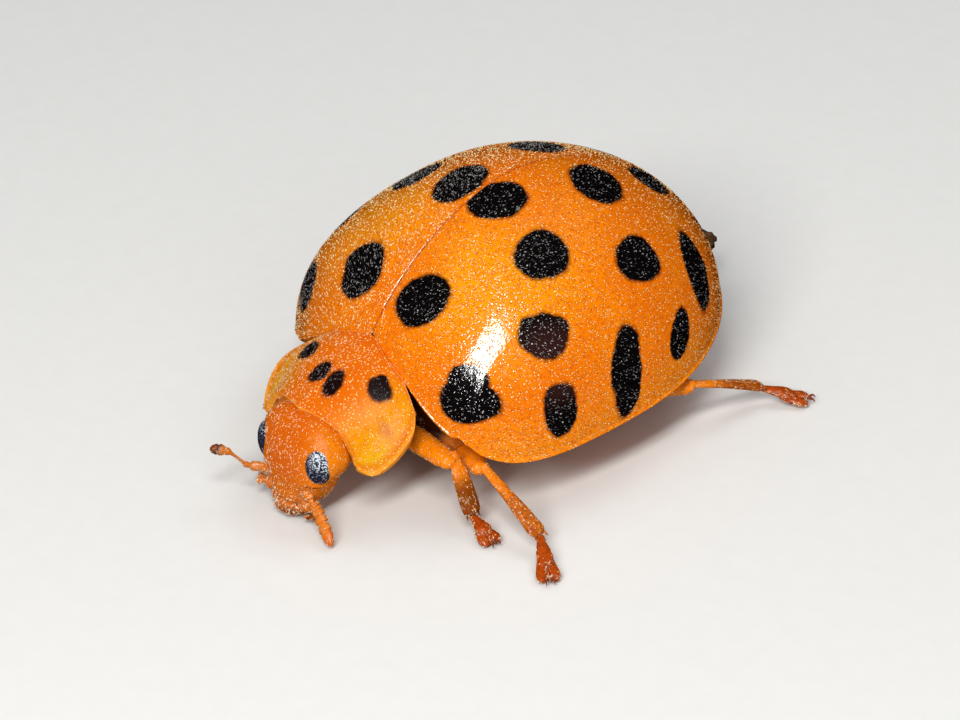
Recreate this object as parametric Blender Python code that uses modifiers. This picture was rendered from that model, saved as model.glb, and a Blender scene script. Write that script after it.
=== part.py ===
# A spotted potato ladybird at life size, standing with its head lowered, as closed solids.
# Head towards -Y, the animal's left side at +X, the feet flat on Z = 0.
import math

import bmesh
import bpy
from mathutils import Matrix, Vector

# Every size below is in millimetres, and MM turns it into metres.
MM = 0.001
# The thin gap that parts neighbours, sized for an animal 8 mm long.
GAP = 0.05
SUTURE_GAP = 0.05

# Places below are measured from the scutellum's front point. The origin is put under the middle
# of the whole animal by moving everything with the root empty.
ORIGIN_FROM_SCUTELLUM = Vector((0.0, 2.14, 0.0))

# The closed wing cases together form one dome.
DOME_HALF_WIDTH = 2.90
DOME_FRONT_REACH = 3.105
DOME_REAR_REACH = 3.338
DOME_MIDDLE_Y = 2.71
DOME_MARGIN_Z = 1.146
DOME_RISE = 2.769
DOME_FRONT_POWER = 2.84
DOME_REAR_POWER = 1.945
DOME_CROWN_POWER = 1.70
DOME_SIDE_POWER = 1.98
MARGIN_SLOPE = 0.102
MARGIN_CURVE = 0.054
SHELL_THICKNESS = 0.50
DOME_SEGMENTS = 40
DOME_RINGS = 18

# The front edge of the wing cases bows forward on each side of the scutellum.
BASE_BOW = 0.187
BASE_HALF_WIDTH = 1.98
SCUTELLUM_HALF_WIDTH = 0.16
SCUTELLUM_LENGTH = 0.24

# The soft body under the shells, and where thin cuts part it.
BODY_INSET = SHELL_THICKNESS + GAP
BELLY_DEPTH = 0.50
THORAX_END_Y = 2.72
PROTHORAX_CENTRE = (0.0, -0.45, 1.13)
PROTHORAX_RADII = (1.08, 0.47, 0.56)

# The neck shield.
PRONOTUM_THICKNESS = 0.26
PRONOTUM_COLUMNS = 18
PRONOTUM_ROWS = 8

HEAD_CENTRE = (0.0, -1.47, 0.955)
HEAD_RADII = (0.83, 0.43, 0.745)
HEAD_TILT = math.radians(9.0)
HEAD_JAW_SHARE = 0.64
EYE_CENTRE = (0.565, -1.67, 1.04)
EYE_RADII = (0.13, 0.175, 0.245)
EYE_TURN = math.radians(-42.0)
LABRUM_CENTRE = (0.0, -1.775, 0.165)
LABRUM_RADII = (0.25, 0.14, 0.115)
PALP_RADIUS = 0.15
FEELER_RADIUS = 0.21
FEELER_ROOT = (0.57, -1.80, 0.58)
FEELER_ROOT_RADIUS = 0.15

# Leg widths. The shins and feet are kept thick enough for a solid.
FEMUR_RADIUS = 0.215
KNEE_RADIUS = 0.20
ANKLE_RADIUS = 0.21
TOE_RADIUS = 0.215

# Each leg: hip, knee, ankle and toe.
LEGS = {
    "front_left": ((0.47, -0.08, 0.74), (1.80, -0.23, 0.95), (2.22, -0.07, 0.31), (2.64, -0.10, 0.13)),
    "mid_left": ((0.50, 0.78, 0.62), (2.09, 0.22, 0.88), (3.33, 0.28, 0.31), (4.00, -0.07, 0.13)),
    "hind_left": ((0.95, 2.62, 0.66), (2.66, 3.78, 0.88), (2.84, 5.12, 0.31), (3.23, 5.50, 0.13)),
    "front_right": ((-0.47, -0.08, 0.74), (-1.78, -0.12, 0.92), (-2.10, 0.22, 0.31), (-2.42, 0.62, 0.13)),
    "mid_right": ((-0.50, 0.78, 0.62), (-2.12, 1.30, 0.88), (-3.34, 1.98, 0.31), (-4.00, 2.32, 0.13)),
    "hind_right": ((-0.95, 2.62, 0.66), (-2.62, 3.42, 0.88), (-3.02, 4.62, 0.31), (-3.40, 5.02, 0.13)),
}

COLOURS = {
    "shell": (0.78, 0.23, 0.012, 1.0),
    "neck_shield": (0.87, 0.31, 0.012, 1.0),
    "head": (0.74, 0.17, 0.008, 1.0),
    "body": (0.55, 0.17, 0.02, 1.0),
    "leg": (0.58, 0.14, 0.008, 1.0),
    "foot": (0.42, 0.075, 0.006, 1.0),
    "feeler": (0.60, 0.17, 0.012, 1.0),
    "eye": (0.010, 0.010, 0.012, 1.0),
    "wing": (0.09, 0.045, 0.02, 1.0),
}
ROUGHNESS = {"eye": 0.18, "shell": 0.38, "neck_shield": 0.40, "wing": 0.45}


def clear_scene():
    for thing in list(bpy.data.objects):
        bpy.data.objects.remove(thing, do_unlink=True)


def make_collection(name):
    collection = bpy.data.collections.new(name)
    bpy.context.scene.collection.children.link(collection)
    return collection


def make_material(name):
    material = bpy.data.materials.new(name)
    material.use_nodes = True
    shader = material.node_tree.nodes["Principled BSDF"]
    shader.inputs["Base Color"].default_value = COLOURS[name]
    shader.inputs["Roughness"].default_value = ROUGHNESS.get(name, 0.5)
    shader.inputs["Metallic"].default_value = 0.0
    return material


def signed_power(value, power):
    return math.copysign(abs(value) ** power, value)


def blend(start, end, share):
    return start + (end - start) * share


def through(points, share):
    # a smooth curve through a few evenly spaced points, by Catmull-Rom pieces
    spans = len(points) - 1
    span = min(int(share * spans), spans - 1)
    t = share * spans - span
    before = points[max(span - 1, 0)]
    start = points[span]
    end = points[span + 1]
    after = points[min(span + 2, spans)]
    result = []
    for a, b, c, d in zip(before, start, end, after):
        bend = (2 * a - 5 * b + 4 * c - d) * t * t + (3 * b - a - 3 * c + d) * t ** 3
        result.append(b + 0.5 * ((c - a) * t + bend))
    return Vector(result)


def finish_object(name, mesh_data, material, collection, root):
    thing = bpy.data.objects.new(name, mesh_data)
    collection.objects.link(thing)
    thing.parent = root
    mesh_data.materials.append(material)
    mesh_data.shade_smooth()
    return thing


def mesh_from(builder, name):
    # the builder fills an empty bmesh in millimetres
    work = bmesh.new()
    builder(work)
    bmesh.ops.recalc_face_normals(work, faces=work.faces)
    bmesh.ops.scale(work, vec=(MM, MM, MM), verts=work.verts)
    data = bpy.data.meshes.new(name)
    work.to_mesh(data)
    work.free()
    return data


def make_cutter(name, builder, cutters, root):
    cutter = bpy.data.objects.new(name, mesh_from(builder, name))
    cutters.objects.link(cutter)
    cutter.parent = root
    cutter.hide_render = True
    cutter.display_type = "WIRE"
    return cutter


def cut(thing, cutter, operation="DIFFERENCE"):
    modifier = thing.modifiers.new(f"{operation.lower()}_{cutter.name}"[:60], "BOOLEAN")
    modifier.operation = operation
    modifier.solver = "EXACT"
    modifier.object = cutter


def trim(work, point, outward):
    # cut away what lies past a plane and close the opening
    geometry = work.verts[:] + work.edges[:] + work.faces[:]
    bmesh.ops.bisect_plane(work, geom=geometry, dist=1e-6, plane_co=point, plane_no=outward, clear_outer=True)
    rim = [edge for edge in work.edges if edge.is_boundary]
    bmesh.ops.holes_fill(work, edges=rim, sides=0)


# ---- the dome of the wing cases -------------------------------------------------------------

def margin_height(y):
    share = (y - DOME_MIDDLE_Y) / 3.0
    return DOME_MARGIN_Z + MARGIN_SLOPE * share + MARGIN_CURVE * share * share


def dome_place(direction, inset):
    # moves a point of the unit ball's upper half onto the dome
    spread = min(math.hypot(direction.x, direction.y), 1.0)
    if spread < 1e-6:
        return Vector((0.0, DOME_MIDDLE_Y, DOME_MARGIN_Z + DOME_RISE - inset))
    across = direction.x / spread
    along = direction.y / spread
    if along < 0.0:
        power, reach = DOME_FRONT_POWER, DOME_FRONT_REACH - inset
    else:
        power, reach = DOME_REAR_POWER, DOME_REAR_REACH - inset
    x = spread * (DOME_HALF_WIDTH - inset) * signed_power(across, 2.0 / power)
    y = DOME_MIDDLE_Y + spread * reach * signed_power(along, 2.0 / power)
    rise = (DOME_RISE - inset) * (1.0 - spread ** DOME_CROWN_POWER) ** (1.0 / DOME_SIDE_POWER)
    lift = (margin_height(y) - DOME_MARGIN_Z) * spread ** 3
    return Vector((x, y, DOME_MARGIN_Z + rise + lift))


def belly_place(direction, inset):
    # the lower half of the ball becomes the shallow belly
    rim = dome_place(Vector((direction.x, direction.y, 0.0)), inset)
    spread = min(math.hypot(direction.x, direction.y), 1.0)
    depth = BELLY_DEPTH * (1.0 - spread ** 2.6)
    return Vector((rim.x, rim.y, margin_height(rim.y) - 0.01 - depth))


def half_dome(side):
    def build(work):
        bmesh.ops.create_uvsphere(work, u_segments=DOME_SEGMENTS, v_segments=DOME_RINGS, radius=1.0)
        away = [v for v in work.verts if v.co.z < -1e-5 or v.co.x * side < -1e-5]
        bmesh.ops.delete(work, geom=away, context="VERTS")
        for vert in work.verts:
            vert.co = dome_place(vert.co, 0.0)
            vert.co.x += side * SUTURE_GAP / 2
    return build


def whole_dome(work):
    bmesh.ops.create_uvsphere(work, u_segments=DOME_SEGMENTS, v_segments=DOME_RINGS, radius=1.0)
    bmesh.ops.delete(work, geom=[v for v in work.verts if v.co.z < -1e-5], context="VERTS")
    for vert in work.verts:
        vert.co = dome_place(vert.co, 0.0)


def base_edge(x):
    # where the wing cases begin, behind the neck shield
    share = min(abs(x) / BASE_HALF_WIDTH, 1.0)
    return -BASE_BOW * math.sin(math.pi * share ** 1.4)


def slab(outline_near, outline_far, half_width, columns):
    # an upright block between two curves over X
    def build(work):
        bmesh.ops.create_grid(work, x_segments=columns, y_segments=1, size=1.0)
        for vert in work.verts:
            x = vert.co.x * half_width
            y = outline_near(x) if vert.co.y < 0.0 else outline_far(x)
            vert.co = Vector((x, y, -1.0))
        made = bmesh.ops.extrude_face_region(work, geom=work.faces[:])
        raised = [item for item in made["geom"] if isinstance(item, bmesh.types.BMVert)]
        bmesh.ops.translate(work, verts=raised, vec=(0.0, 0.0, 6.0))
    return build


def scutellum_prism(margin):
    # a small three-sided plate, its point towards the tail
    def build(work):
        width = SCUTELLUM_HALF_WIDTH + margin * 1.6
        tip = SCUTELLUM_LENGTH + margin * 2.0
        corners = [work.verts.new(c) for c in ((-width, -0.6, 0.5), (width, -0.6, 0.5), (width, 0.0, 0.5),
                                               (0.0, tip, 0.5), (-width, 0.0, 0.5))]
        work.faces.new(corners)
        made = bmesh.ops.extrude_face_region(work, geom=work.faces[:])
        raised = [item for item in made["geom"] if isinstance(item, bmesh.types.BMVert)]
        bmesh.ops.translate(work, verts=raised, vec=(0.0, 0.0, 4.0))
    return build


def add_shell_thickness(thing, thickness):
    modifier = thing.modifiers.new("thickness", "SOLIDIFY")
    modifier.thickness = thickness * MM
    modifier.offset = -1.0
    modifier.use_even_offset = False
    modifier.use_rim = True


def make_elytra(parts, cutters, root, material):
    neck_space = make_cutter("neck_space", slab(lambda x: -3.0, base_edge, 4.0, 48), cutters, root)
    notch = make_cutter("scutellum_notch", scutellum_prism(GAP * 0.8), cutters, root)
    made = []
    for name, side in (("elytron_left", 1), ("elytron_right", -1)):
        shell = finish_object(name, mesh_from(half_dome(side), name), material, parts, root)
        add_shell_thickness(shell, SHELL_THICKNESS)
        cut(shell, neck_space)
        cut(shell, notch)
        made.append(shell)
    plate = finish_object("scutellum", mesh_from(whole_dome, "scutellum"), material, parts, root)
    add_shell_thickness(plate, SHELL_THICKNESS * 0.8)
    cut(plate, make_cutter("scutellum_outline", scutellum_prism(0.0), cutters, root), "INTERSECT")
    front_space = make_cutter("scutellum_front", slab(lambda x: -3.0, lambda x: -0.01, 4.0, 4), cutters, root)
    cut(plate, front_space)
    return made


# ---- the soft body ----------------------------------------------------------------------------

def body_length(start_y, end_y):
    def build(work):
        bmesh.ops.create_uvsphere(work, u_segments=DOME_SEGMENTS, v_segments=DOME_RINGS, radius=1.0)
        for vert in work.verts:
            place = dome_place if vert.co.z > -1e-5 else belly_place
            vert.co = place(vert.co, BODY_INSET)
        if start_y is not None:
            trim(work, (0.0, start_y, 0.0), (0.0, -1.0, 0.0))
        if end_y is not None:
            trim(work, (0.0, end_y, 0.0), (0.0, 1.0, 0.0))
    return build


def ball(centre, radii, turn=None, segments=20, rings=12):
    def build(work):
        place = Matrix.Translation(centre)
        if turn is not None:
            place = place @ turn
        place = place @ Matrix.Diagonal((*radii, 1.0))
        bmesh.ops.create_uvsphere(work, u_segments=segments, v_segments=rings, radius=1.0, matrix=place)
    return build


def make_body(parts, cutters, root, material):
    prothorax = finish_object("prothorax", mesh_from(ball(PROTHORAX_CENTRE, PROTHORAX_RADII), "prothorax"),
                              material, parts, root)
    thorax = finish_object("thorax", mesh_from(body_length(None, THORAX_END_Y), "thorax"),
                           material, parts, root)
    abdomen = finish_object("abdomen", mesh_from(body_length(THORAX_END_Y + GAP, None), "abdomen"),
                            material, parts, root)
    return prothorax, thorax, abdomen


def make_wing_tips(parts, root, material):
    # the dark tips of the folded flying wings, just past the end of the body
    centre = (0.0, 6.15, 1.05)
    radii = (0.34, 0.60, 0.21)
    return finish_object("wing_tips", mesh_from(ball(centre, radii, segments=16, rings=10), "wing_tips"),
                         material, parts, root)


# ---- the neck shield --------------------------------------------------------------------------

def shield_hind_edge(share):
    x = 1.30 * share
    return Vector((x, -0.05 - 0.28 * share ** 1.6, 2.33 - 0.72 * share ** 2.0))


def shield_front_edge(share):
    points = ((0.00, -1.50, 1.78), (0.36, -1.40, 1.72), (0.72, -1.29, 1.56), (0.94, -1.28, 1.32),
              (1.03, -1.24, 0.96))
    return through(points, share)


def shield_side_edge(share):
    points = ((1.30, -0.33, 1.61), (1.42, -0.62, 1.40), (1.36, -0.90, 1.15), (1.20, -1.10, 0.95),
              (1.03, -1.24, 0.96))
    return through(points, share)


def shield_middle(share):
    points = ((0.0, -0.05, 2.33), (0.0, -0.50, 2.19), (0.0, -1.00, 1.98), (0.0, -1.50, 1.78))
    return through(points, share)


def shield_point(across, back_to_front):
    # the four edges are blended, the middle staying flat across
    side = abs(across)
    outward = Vector((side, side ** 2.0, side ** 2.4))
    corners = (shield_middle(0.0), shield_side_edge(0.0), shield_middle(1.0), shield_side_edge(1.0))
    place = Vector((0.0, 0.0, 0.0))
    for axis in range(3):
        w = outward[axis]
        along = blend(shield_middle(back_to_front)[axis], shield_side_edge(back_to_front)[axis], w)
        over = blend(shield_hind_edge(side)[axis], shield_front_edge(side)[axis], back_to_front)
        flat = blend(blend(corners[0][axis], corners[1][axis], w), blend(corners[2][axis], corners[3][axis], w),
                     back_to_front)
        place[axis] = along + over - flat
    place.x = math.copysign(place.x, across) if across else 0.0
    return place


def shield_grid(work):
    bmesh.ops.create_grid(work, x_segments=PRONOTUM_COLUMNS, y_segments=PRONOTUM_ROWS, size=1.0)
    for vert in work.verts:
        vert.co = shield_point(vert.co.x, (1.0 - vert.co.y) / 2.0)


def make_pronotum(parts, cutters, root, material):
    shield = finish_object("pronotum", mesh_from(shield_grid, "pronotum"), material, parts, root)
    add_shell_thickness(shield, PRONOTUM_THICKNESS)
    shell_space = make_cutter("shell_space", slab(lambda x: base_edge(x) - GAP, lambda x: 3.0, 4.0, 48),
                              cutters, root)
    cut(shield, shell_space)
    return shield


def make_shield_space(cutters, root):
    # the shield again, a gap thicker, to hollow out what lies under it
    space = make_cutter("shield_space", shield_grid, cutters, root)
    add_shell_thickness(space, PRONOTUM_THICKNESS + GAP)
    return space


# ---- the head ---------------------------------------------------------------------------------

def head_shape(work):
    bmesh.ops.create_uvsphere(work, u_segments=24, v_segments=14, radius=1.0)
    for vert in work.verts:
        side, depth, height = vert.co
        width = blend(HEAD_JAW_SHARE, 1.0, min(max((height + 1.0) / 1.25, 0.0), 1.0) ** 0.8)
        vert.co = Vector((HEAD_RADII[0] * width * signed_power(side, 0.80),
                          HEAD_RADII[1] * signed_power(depth, 0.85),
                          HEAD_RADII[2] * signed_power(height, 0.92)))
    bmesh.ops.rotate(work, verts=work.verts, cent=(0.0, 0.0, 0.0), matrix=Matrix.Rotation(-HEAD_TILT, 3, "X"))
    bmesh.ops.translate(work, verts=work.verts, vec=HEAD_CENTRE)


def eye_ball(side, margin):
    centre = (EYE_CENTRE[0] * side, EYE_CENTRE[1], EYE_CENTRE[2])
    radii = tuple(radius + margin for radius in EYE_RADII)
    turn = Matrix.Rotation(EYE_TURN * side, 4, "Z")
    return ball(centre, radii, turn, segments=16, rings=10)


def make_head(parts, cutters, root, materials):
    head = finish_object("head", mesh_from(head_shape, "head"), materials["head"], parts, root)
    for name, side in (("eye_left", 1), ("eye_right", -1)):
        finish_object(name, mesh_from(eye_ball(side, 0.0), name), materials["eye"], parts, root)
        cut(head, make_cutter(f"{name}_socket", eye_ball(side, GAP * 0.7), cutters, root))
        root_place = (FEELER_ROOT[0] * side, *FEELER_ROOT[1:])
        pit_radius = FEELER_ROOT_RADIUS + GAP
        pit = ball(root_place, (pit_radius, pit_radius, pit_radius), segments=12, rings=8)
        cut(head, make_cutter(f"feeler_pit_{name[4:]}", pit, cutters, root))
    finish_object("labrum", mesh_from(ball(LABRUM_CENTRE, LABRUM_RADII, segments=16, rings=10), "labrum"),
                  materials["head"], parts, root)
    cut(head, make_cutter("labrum_seat", ball(LABRUM_CENTRE, tuple(r + GAP for r in LABRUM_RADII),
                                              segments=16, rings=10), cutters, root))
    return head


def make_tube(name, points, radii, parts, root, material):
    curve = bpy.data.curves.new(name, "CURVE")
    curve.dimensions = "3D"
    curve.bevel_depth = MM
    curve.bevel_resolution = 2
    curve.use_fill_caps = True
    spline = curve.splines.new("POLY")
    spline.points.add(len(points) - 1)
    for point, place, radius in zip(spline.points, points, radii):
        point.co = (*(Vector(place) * MM), 1.0)
        point.radius = radius
    tube = bpy.data.objects.new(name, curve)
    parts.objects.link(tube)
    tube.parent = root
    curve.materials.append(material)
    return tube


def make_feelers(parts, root, material):
    # the left feeler reaches down to the ground, the right one out ahead
    low = (FEELER_ROOT, (0.72, -1.90, 0.46), (0.91, -1.92, 0.32), (1.10, -1.92, 0.25))
    high = ((-FEELER_ROOT[0], *FEELER_ROOT[1:]), (-0.74, -2.00, 0.65), (-0.91, -2.18, 0.73), (-1.05, -2.34, 0.81))
    widths = (FEELER_ROOT_RADIUS, FEELER_RADIUS, FEELER_RADIUS, 0.9 * FEELER_RADIUS)
    make_tube("antenna_left", low, widths, parts, root, material)
    make_tube("antenna_right", high, widths, parts, root, material)
    for name, side in (("palp_left", 1), ("palp_right", -1)):
        start = (0.30 * side, -1.52, 0.27)
        end = (0.46 * side, -1.60, 0.17)
        make_tube(name, (start, end), (0.8 * PALP_RADIUS, PALP_RADIUS), parts, root, material)


# ---- the legs ---------------------------------------------------------------------------------

def facing(direction):
    return direction.to_track_quat("Z", "Y").to_matrix().to_4x4()


def limb_cone(start, end, start_radius, end_radius, spare):
    # a tapered round bar, a little longer than its length at both ends
    def build(work):
        axis = (end - start).normalized()
        low = start - axis * spare
        high = end + axis * spare
        place = Matrix.Translation((low + high) / 2) @ facing(axis)
        bmesh.ops.create_cone(work, cap_ends=True, segments=14, radius1=start_radius, radius2=end_radius,
                              depth=(high - low).length, matrix=place)
    return build


def femur_shape(hip, knee, margin, closing=None):
    # a spindle, cut off at the knee
    def build(work):
        middle = blend(hip, knee, 0.47)
        half = (knee - hip).length * 0.64 + margin
        radius = FEMUR_RADIUS + margin
        place = Matrix.Translation(middle) @ facing(knee - hip) @ Matrix.Diagonal((radius, radius, half, 1.0))
        bmesh.ops.create_uvsphere(work, u_segments=14, v_segments=10, radius=1.0, matrix=place)
        if closing is not None:
            trim(work, *closing)
    return build


def shin_shape(knee, ankle, knee_cut, ankle_cut):
    def build(work):
        limb_cone(knee, ankle, KNEE_RADIUS, ANKLE_RADIUS, 0.3)(work)
        trim(work, *knee_cut)
        trim(work, *ankle_cut)
    return build


def foot_shape(ankle, toe, ankle_cut):
    # widens to the toe, and its sole is cut flat on the ground
    def build(work):
        axis = (toe - ankle).normalized()
        limb_cone(ankle, toe + axis * 0.05, ANKLE_RADIUS * 0.95, TOE_RADIUS, 0.0)(work)
        centre = toe + axis * 0.05
        side = axis.cross(Vector((0.0, 0.0, 1.0))).normalized()
        for vert in work.verts:
            across = (vert.co - centre).dot(side)
            ahead = min(max((vert.co - ankle).dot(axis) / (centre - ankle).length, 0.0), 1.0)
            vert.co += side * across * 0.25 * ahead
        back = [v for v in work.verts if (v.co - ankle).dot(axis) < 0.1]
        bmesh.ops.translate(work, verts=back, vec=-axis * 0.3)
        trim(work, *ankle_cut)
        trim(work, (0.0, 0.0, 0.0), (0.0, 0.0, -1.0))
    return build


def joint_planes(before, joint, after):
    # two parallel planes half a gap to each side of the joint, square to the bend's middle
    normal = ((joint - before).normalized() + (after - joint).normalized()).normalized()
    return (joint - normal * GAP / 2, normal), (joint + normal * GAP / 2, -normal)


def make_legs(parts, cutters, root, materials):
    spaces = {}
    for leg, places in LEGS.items():
        hip, knee, ankle, toe = (Vector(place) for place in places)
        thigh_end, shin_start = joint_planes(hip, knee, ankle)
        shin_end, foot_start = joint_planes(knee, ankle, toe)
        shapes = (("femur", femur_shape(hip, knee, 0.0, thigh_end), "leg"),
                  ("tibia", shin_shape(knee, ankle, shin_start, shin_end), "leg"),
                  ("tarsus", foot_shape(ankle, toe, foot_start), "foot"))
        for kind, shape, material in shapes:
            name = f"{kind}_{leg}"
            finish_object(name, mesh_from(shape, name), materials[material], parts, root)
        space = femur_shape(hip, knee, GAP)
        spaces[leg] = make_cutter(f"space_{leg}", space, cutters, root)
    return spaces


def make_ladybird():
    clear_scene()
    parts = make_collection("ladybird")
    cutters = make_collection("ladybird_cutters")
    root = bpy.data.objects.new("ladybird_root", None)
    parts.objects.link(root)
    materials = {name: make_material(name) for name in COLOURS}
    elytra = make_elytra(parts, cutters, root, materials["shell"])
    prothorax, thorax, abdomen = make_body(parts, cutters, root, materials["body"])
    make_wing_tips(parts, root, materials["wing"])
    make_pronotum(parts, cutters, root, materials["neck_shield"])
    head = make_head(parts, cutters, root, materials)
    shield_space = make_shield_space(cutters, root)
    for flesh in (head, prothorax):
        cut(flesh, shield_space)
    make_feelers(parts, root, materials["feeler"])
    spaces = make_legs(parts, cutters, root, materials)
    for leg, space in spaces.items():
        if leg.startswith("front"):
            cut(prothorax, space)
            for shell in elytra:
                if shell.name.split("_")[1] == leg.split("_")[1]:
                    cut(shell, space)
        cut(thorax, space)
        if leg.startswith("hind"):
            cut(abdomen, space)
    root.location = -ORIGIN_FROM_SCUTELLUM * MM


make_ladybird()
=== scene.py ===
import math

import bpy
import numpy as np
from mathutils import Matrix, Vector


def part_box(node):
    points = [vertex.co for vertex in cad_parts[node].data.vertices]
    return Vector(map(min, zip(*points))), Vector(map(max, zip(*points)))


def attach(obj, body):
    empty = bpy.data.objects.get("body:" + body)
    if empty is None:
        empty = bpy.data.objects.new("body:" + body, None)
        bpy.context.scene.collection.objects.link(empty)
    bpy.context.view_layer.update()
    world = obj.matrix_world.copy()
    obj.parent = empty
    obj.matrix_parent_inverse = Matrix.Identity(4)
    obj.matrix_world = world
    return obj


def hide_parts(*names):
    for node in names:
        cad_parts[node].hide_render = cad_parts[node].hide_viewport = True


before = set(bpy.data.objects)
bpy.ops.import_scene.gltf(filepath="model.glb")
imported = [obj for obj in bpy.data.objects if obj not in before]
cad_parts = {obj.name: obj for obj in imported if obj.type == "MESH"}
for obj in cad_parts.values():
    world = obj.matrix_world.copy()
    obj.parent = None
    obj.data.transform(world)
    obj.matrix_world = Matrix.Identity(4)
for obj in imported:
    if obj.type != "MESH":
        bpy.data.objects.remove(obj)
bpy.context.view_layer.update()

# Pieces are modelled at 1 unit = 1 mm, with Y counted from the front of the scutellum,
# and settle() brings them to metres in the frame.
mm = 0.001
sides = {"left": 1, "right": -1}

# the dome that the wing cases and the body share
dome = {"halfWidth": 2.90, "frontReach": 3.105, "rearReach": 3.338, "middleY": 2.71, "marginZ": 1.146,
        "rise": 2.769, "frontPower": 2.84, "rearPower": 1.945, "crownPower": 1.70, "sidePower": 1.98,
        "slope": 0.102, "curve": 0.054, "baseWidth": 1.98}
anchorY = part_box("elytron_left")[1].y / mm - dome["middleY"] - dome["rearReach"]


def pickNothing():
    if bpy.context.mode != "OBJECT":
        bpy.ops.object.mode_set(mode="OBJECT")
    bpy.ops.object.select_all(action="DESELECT")


def pick(*things):
    pickNothing()
    for thing in things:
        thing.select_set(True)
    bpy.context.view_layer.objects.active = things[0]


def editAll(piece):
    pick(piece)
    bpy.ops.object.mode_set(mode="EDIT")
    bpy.ops.mesh.select_all(action="SELECT")


def settle(piece):
    piece.location = (0, anchorY * mm, 0)
    piece.scale = (mm, mm, mm)
    pick(piece)
    bpy.ops.object.transform_apply(location=True, rotation=True, scale=True)


def smooth(piece):
    pick(piece)
    bpy.ops.object.shade_smooth()
    return piece


def turnOut(piece):
    # merge doubles, then point every face outwards
    editAll(piece)
    bpy.ops.mesh.remove_doubles(threshold=1e-5)
    bpy.ops.mesh.normals_make_consistent(inside=False)
    bpy.ops.object.mode_set(mode="OBJECT")
    return piece


def applyAll(piece):
    pick(piece)
    for modifier in list(piece.modifiers):
        bpy.ops.object.modifier_apply(modifier=modifier.name)
    return piece


def addWall(piece, thick):
    wall = piece.modifiers.new("wall", "SOLIDIFY")
    wall.thickness = thick
    wall.offset = -1


def addRoundedEdge(piece, width):
    edge = piece.modifiers.new("edge", "BEVEL")
    edge.width = width
    edge.segments = 2
    edge.limit_method = "ANGLE"
    edge.angle_limit = math.radians(50)


def join(name, pieces):
    # the unwraps are laid side by side before joining
    for number, piece in enumerate(pieces):
        layer = piece.data.uv_layers.active
        if layer is None:
            continue
        uv = np.zeros(len(layer.uv) * 2, np.float32)
        layer.uv.foreach_get("vector", uv)
        uv[0::2] = (number + 0.03 + 0.94 * uv[0::2]) / len(pieces)
        layer.uv.foreach_set("vector", uv)
    pick(*pieces)
    if len(pieces) > 1:
        bpy.ops.object.join()
    piece = bpy.context.view_layer.objects.active
    piece.name = name
    piece.data.name = name
    return piece


def fuse(piece, voxel, rounds):
    # overlapping lumps become one skin with its own unwrap
    skin = piece.modifiers.new("skin", "REMESH")
    skin.mode = "VOXEL"
    skin.voxel_size = voxel
    soft = piece.modifiers.new("soft", "SMOOTH")
    soft.factor = 0.5
    soft.iterations = rounds
    editAll(applyAll(piece))
    bpy.ops.uv.smart_project(angle_limit=math.radians(66), island_margin=0.004)
    bpy.ops.object.mode_set(mode="OBJECT")
    return smooth(piece)


def dress(piece, material, slot, *nodes):
    # a finished piece gets its place, its material and its body, and the nodes it stands for are hidden; the
    # slot is not used
    settle(piece)
    piece.data.materials.clear()
    piece.data.materials.append(material)
    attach(piece, "root")
    if nodes:
        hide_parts(*nodes)


def ball(segments, rings):
    pickNothing()
    bpy.ops.mesh.primitive_uv_sphere_add(segments=segments, ring_count=rings, radius=1)
    return bpy.context.object


def grid(columns, rows):
    pickNothing()
    bpy.ops.mesh.primitive_grid_add(x_subdivisions=columns, y_subdivisions=rows, size=2)
    return bpy.context.object


def limb(start, end, profile, flat=1.0, up=(0, 0, 1), bow=0.0, segments=18, rings=20):
    # a ball drawn out along a bone; profile holds (share of the length, half width) pairs
    piece = ball(segments, rings)
    start, end = Vector(start), Vector(end)
    axis = (end - start).normalized()
    side = axis.cross(Vector(up)).normalized()
    top = side.cross(axis)
    for vert in piece.data.vertices:
        share = (vert.co.z + 1) / 2
        spoke = Vector((vert.co.x, vert.co.y, 0))
        width = widthAt(profile, share) if spoke.length > 1e-5 else 0
        spoke.normalize()
        vert.co = (start.lerp(end, share) + side * spoke.x * width + top * spoke.y * width * flat
                   + top * bow * 4 * share * (1 - share))
    return turnOut(piece)


def lump(centre, radii, turn=0.0, tilt=0.0, segments=24, rings=16):
    piece = ball(segments, rings)
    place = Matrix.Translation(centre) @ Matrix.Rotation(turn, 4, "Z") @ Matrix.Rotation(tilt, 4, "X")
    piece.data.transform(place @ Matrix.Diagonal((*radii, 1)))
    return piece


def sidedLump(side, centre, radii, turn=0.0):
    return lump((centre[0] * side, centre[1], centre[2]), radii, turn=turn * side)


def curveThrough(points, share):
    # a smooth curve through a few points, by Catmull-Rom pieces
    spans = len(points) - 1
    span = min(int(share * spans), spans - 1)
    t = share * spans - span
    around = (max(span - 1, 0), span, span + 1, min(span + 2, spans))
    a, b, c, d = (Vector(points[i]) for i in around)
    return b + 0.5 * ((c - a) * t + (2 * a - 5 * b + 4 * c - d) * t * t + (3 * b - a - 3 * c + d) * t ** 3)


def widthAt(profile, share):
    # eased between (share, width) pairs
    for (s0, w0), (s1, w1) in zip(profile, profile[1:]):
        if share <= s1:
            t = max((share - s0) / (s1 - s0), 0)
            return w0 + (w1 - w0) * t * t * (3 - 2 * t)
    return profile[-1][1]


def hump(p, centre, radii, height):
    d = sum(((p[i] - centre[i]) / radii[i]) ** 2 for i in range(3))
    return height * math.exp(-d * 1.5)


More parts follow.
